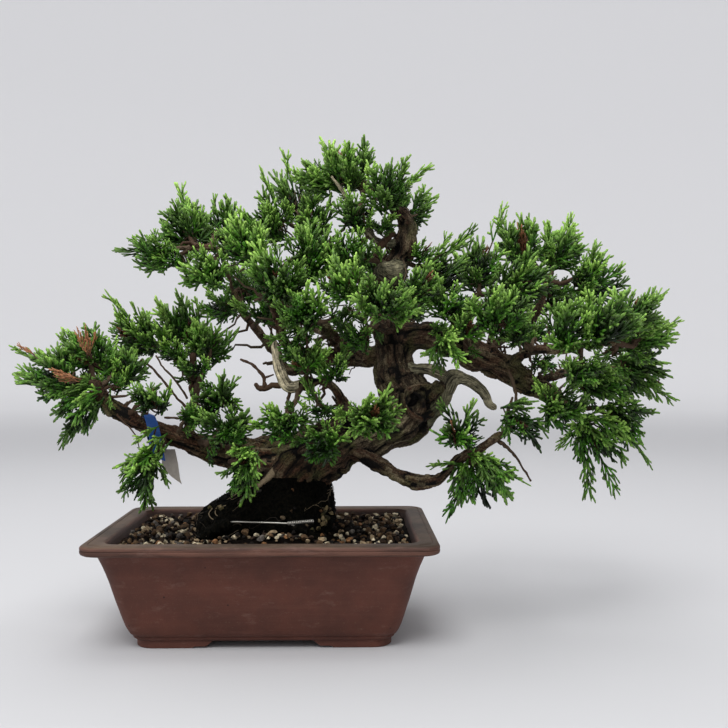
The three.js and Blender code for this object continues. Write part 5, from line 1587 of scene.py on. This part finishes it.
def plainSurface(name, colour, other, size, roughness):
    # One colour with a slight cloudiness: coloured tape, weathered paper or moulded plastic.
    material = newMaterial(name)
    place = addNode(material, "TexCoord").outputs["Object"]
    noise = addNode(material, "TexNoise", {"Vector": place, "Scale": perMillimetre(size), "Detail": 3.0})
    mixed = addNode(material, "MixRGB", {"Fac": noise, "Color1": linear(colour), "Color2": linear(other)})
    return finished(material, {"Base Color": mixed, "Roughness": roughness}, noise, 0.2, 0.0002)


for node, look in plainLooks.items():
    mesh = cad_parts[node].data
    mesh.materials.clear()
    mesh.materials.append(plainSurface(*look))
print("tag and screens coloured")

# Floor, light and camera: a sheet of pale paper that lies under the pot and rises all round, far away,
# and glows faintly there, as paper with lamps of its own does. Its profile is reach and height in metres.
paperLook = {
    "colour": "#c3c3c5", "glow": 0.62, "glowFrom": [900, 2500], "middle": [45, 0, 0], "sides": 72,
    "profile": [
        [0.5, 0], [1.6, 0], [2.0, 0.01], [2.3, 0.05], [2.55, 0.16], [2.75, 0.34], [2.9, 0.6], [3.0, 0.95],
        [3.05, 1.5], [3.1, 2.6],
    ],
}


def makePaper(look):
    turns = np.arange(look["sides"]) * 2 * math.pi / look["sides"]
    rings = [np.stack([np.cos(turns) * reach, np.sin(turns) * reach, np.full(look["sides"], height)], 1)
             for reach, height in look["profile"]]
    points = np.vstack([[[0, 0, 0]], *rings])
    side = np.arange(look["sides"])
    after = (side + 1) % look["sides"]
    faces = [(0, 1 + a, 1 + b) for a, b in zip(side, after)]
    for ring in range(len(rings) - 1):
        low, high = 1 + ring * look["sides"], 1 + (ring + 1) * look["sides"]
        faces += [(low + a, high + a, high + b, low + b) for a, b in zip(side, after)]
    mesh = bpy.data.meshes.new("paper")
    mesh.from_pydata(points.tolist(), [], [tuple(map(int, face)) for face in faces])
    mesh.polygons.foreach_set("use_smooth", [True] * len(faces))
    paper = bpy.data.objects.new("paper", mesh)
    paper.location = toMetres(look["middle"])
    bpy.context.scene.collection.objects.link(paper)
    material = newMaterial("palePaperSheet")
    place = addNode(material, "TexCoord").outputs["Object"]
    away = addNode(material, "VectorMath", {0: place}, operation="LENGTH").outputs["Value"]
    near, far = look["glowFrom"]
    glow = addNode(material, "MapRange", {"Value": away, "From Min": near / 1000, "From Max": far / 1000,
                                          "To Max": look["glow"]}, interpolation_type="SMOOTHSTEP")
    finished(material, {"Base Color": linear(look["colour"]), "Roughness": 0.9, "Specular IOR Level": 0.1,
                        "Emission Color": linear(look["colour"]), "Emission Strength": glow})
    mesh.materials.append(material)


makePaper(paperLook)

world = bpy.data.worlds.new("studio")
world.use_nodes = True
world.node_tree.nodes["Background"].inputs["Color"].default_value = linear("#e2e3e6")
world.node_tree.nodes["Background"].inputs["Strength"].default_value = 0.4
bpy.context.scene.world = world

cameraSettings = {
    "place": [39.3, -476.0, 134.35], "yaw": 0.0172, "pitch": 0.0055, "lens": 46.64, "sensor": 36.0,
}
cameraData = bpy.data.cameras.new("camera")
cameraData.lens = cameraSettings["lens"]
cameraData.sensor_width = cameraSettings["sensor"]
camera = bpy.data.objects.new("camera", cameraData)
camera.location = toMetres(cameraSettings["place"])
camera.rotation_euler = (math.pi / 2 - cameraSettings["pitch"], 0, -cameraSettings["yaw"])
bpy.context.scene.collection.objects.link(camera)
bpy.context.scene.camera = camera

lights = {
    "key": {"place": [-150, -800, 1250], "size": 0.7, "power": 13},
    "top": {"place": [150, 250, 1500], "size": 1.4, "power": 14},
    "side": {"place": [-1300, -500, 700], "size": 0.9, "power": 4},
}
for name, light in lights.items():
    data = bpy.data.lights.new(name, "AREA")
    data.size = light["size"]
    data.energy = light["power"]
    lamp = bpy.data.objects.new(name, data)
    lamp.location = toMetres(light["place"])
    toward = toMetres([40, 0, 120]) - np.array(lamp.location)
    lamp.rotation_euler = Vector(toward).to_track_quat("-Z", "Y").to_euler()
    bpy.context.scene.collection.objects.link(lamp)

bpy.context.scene.view_settings.view_transform = "Standard"
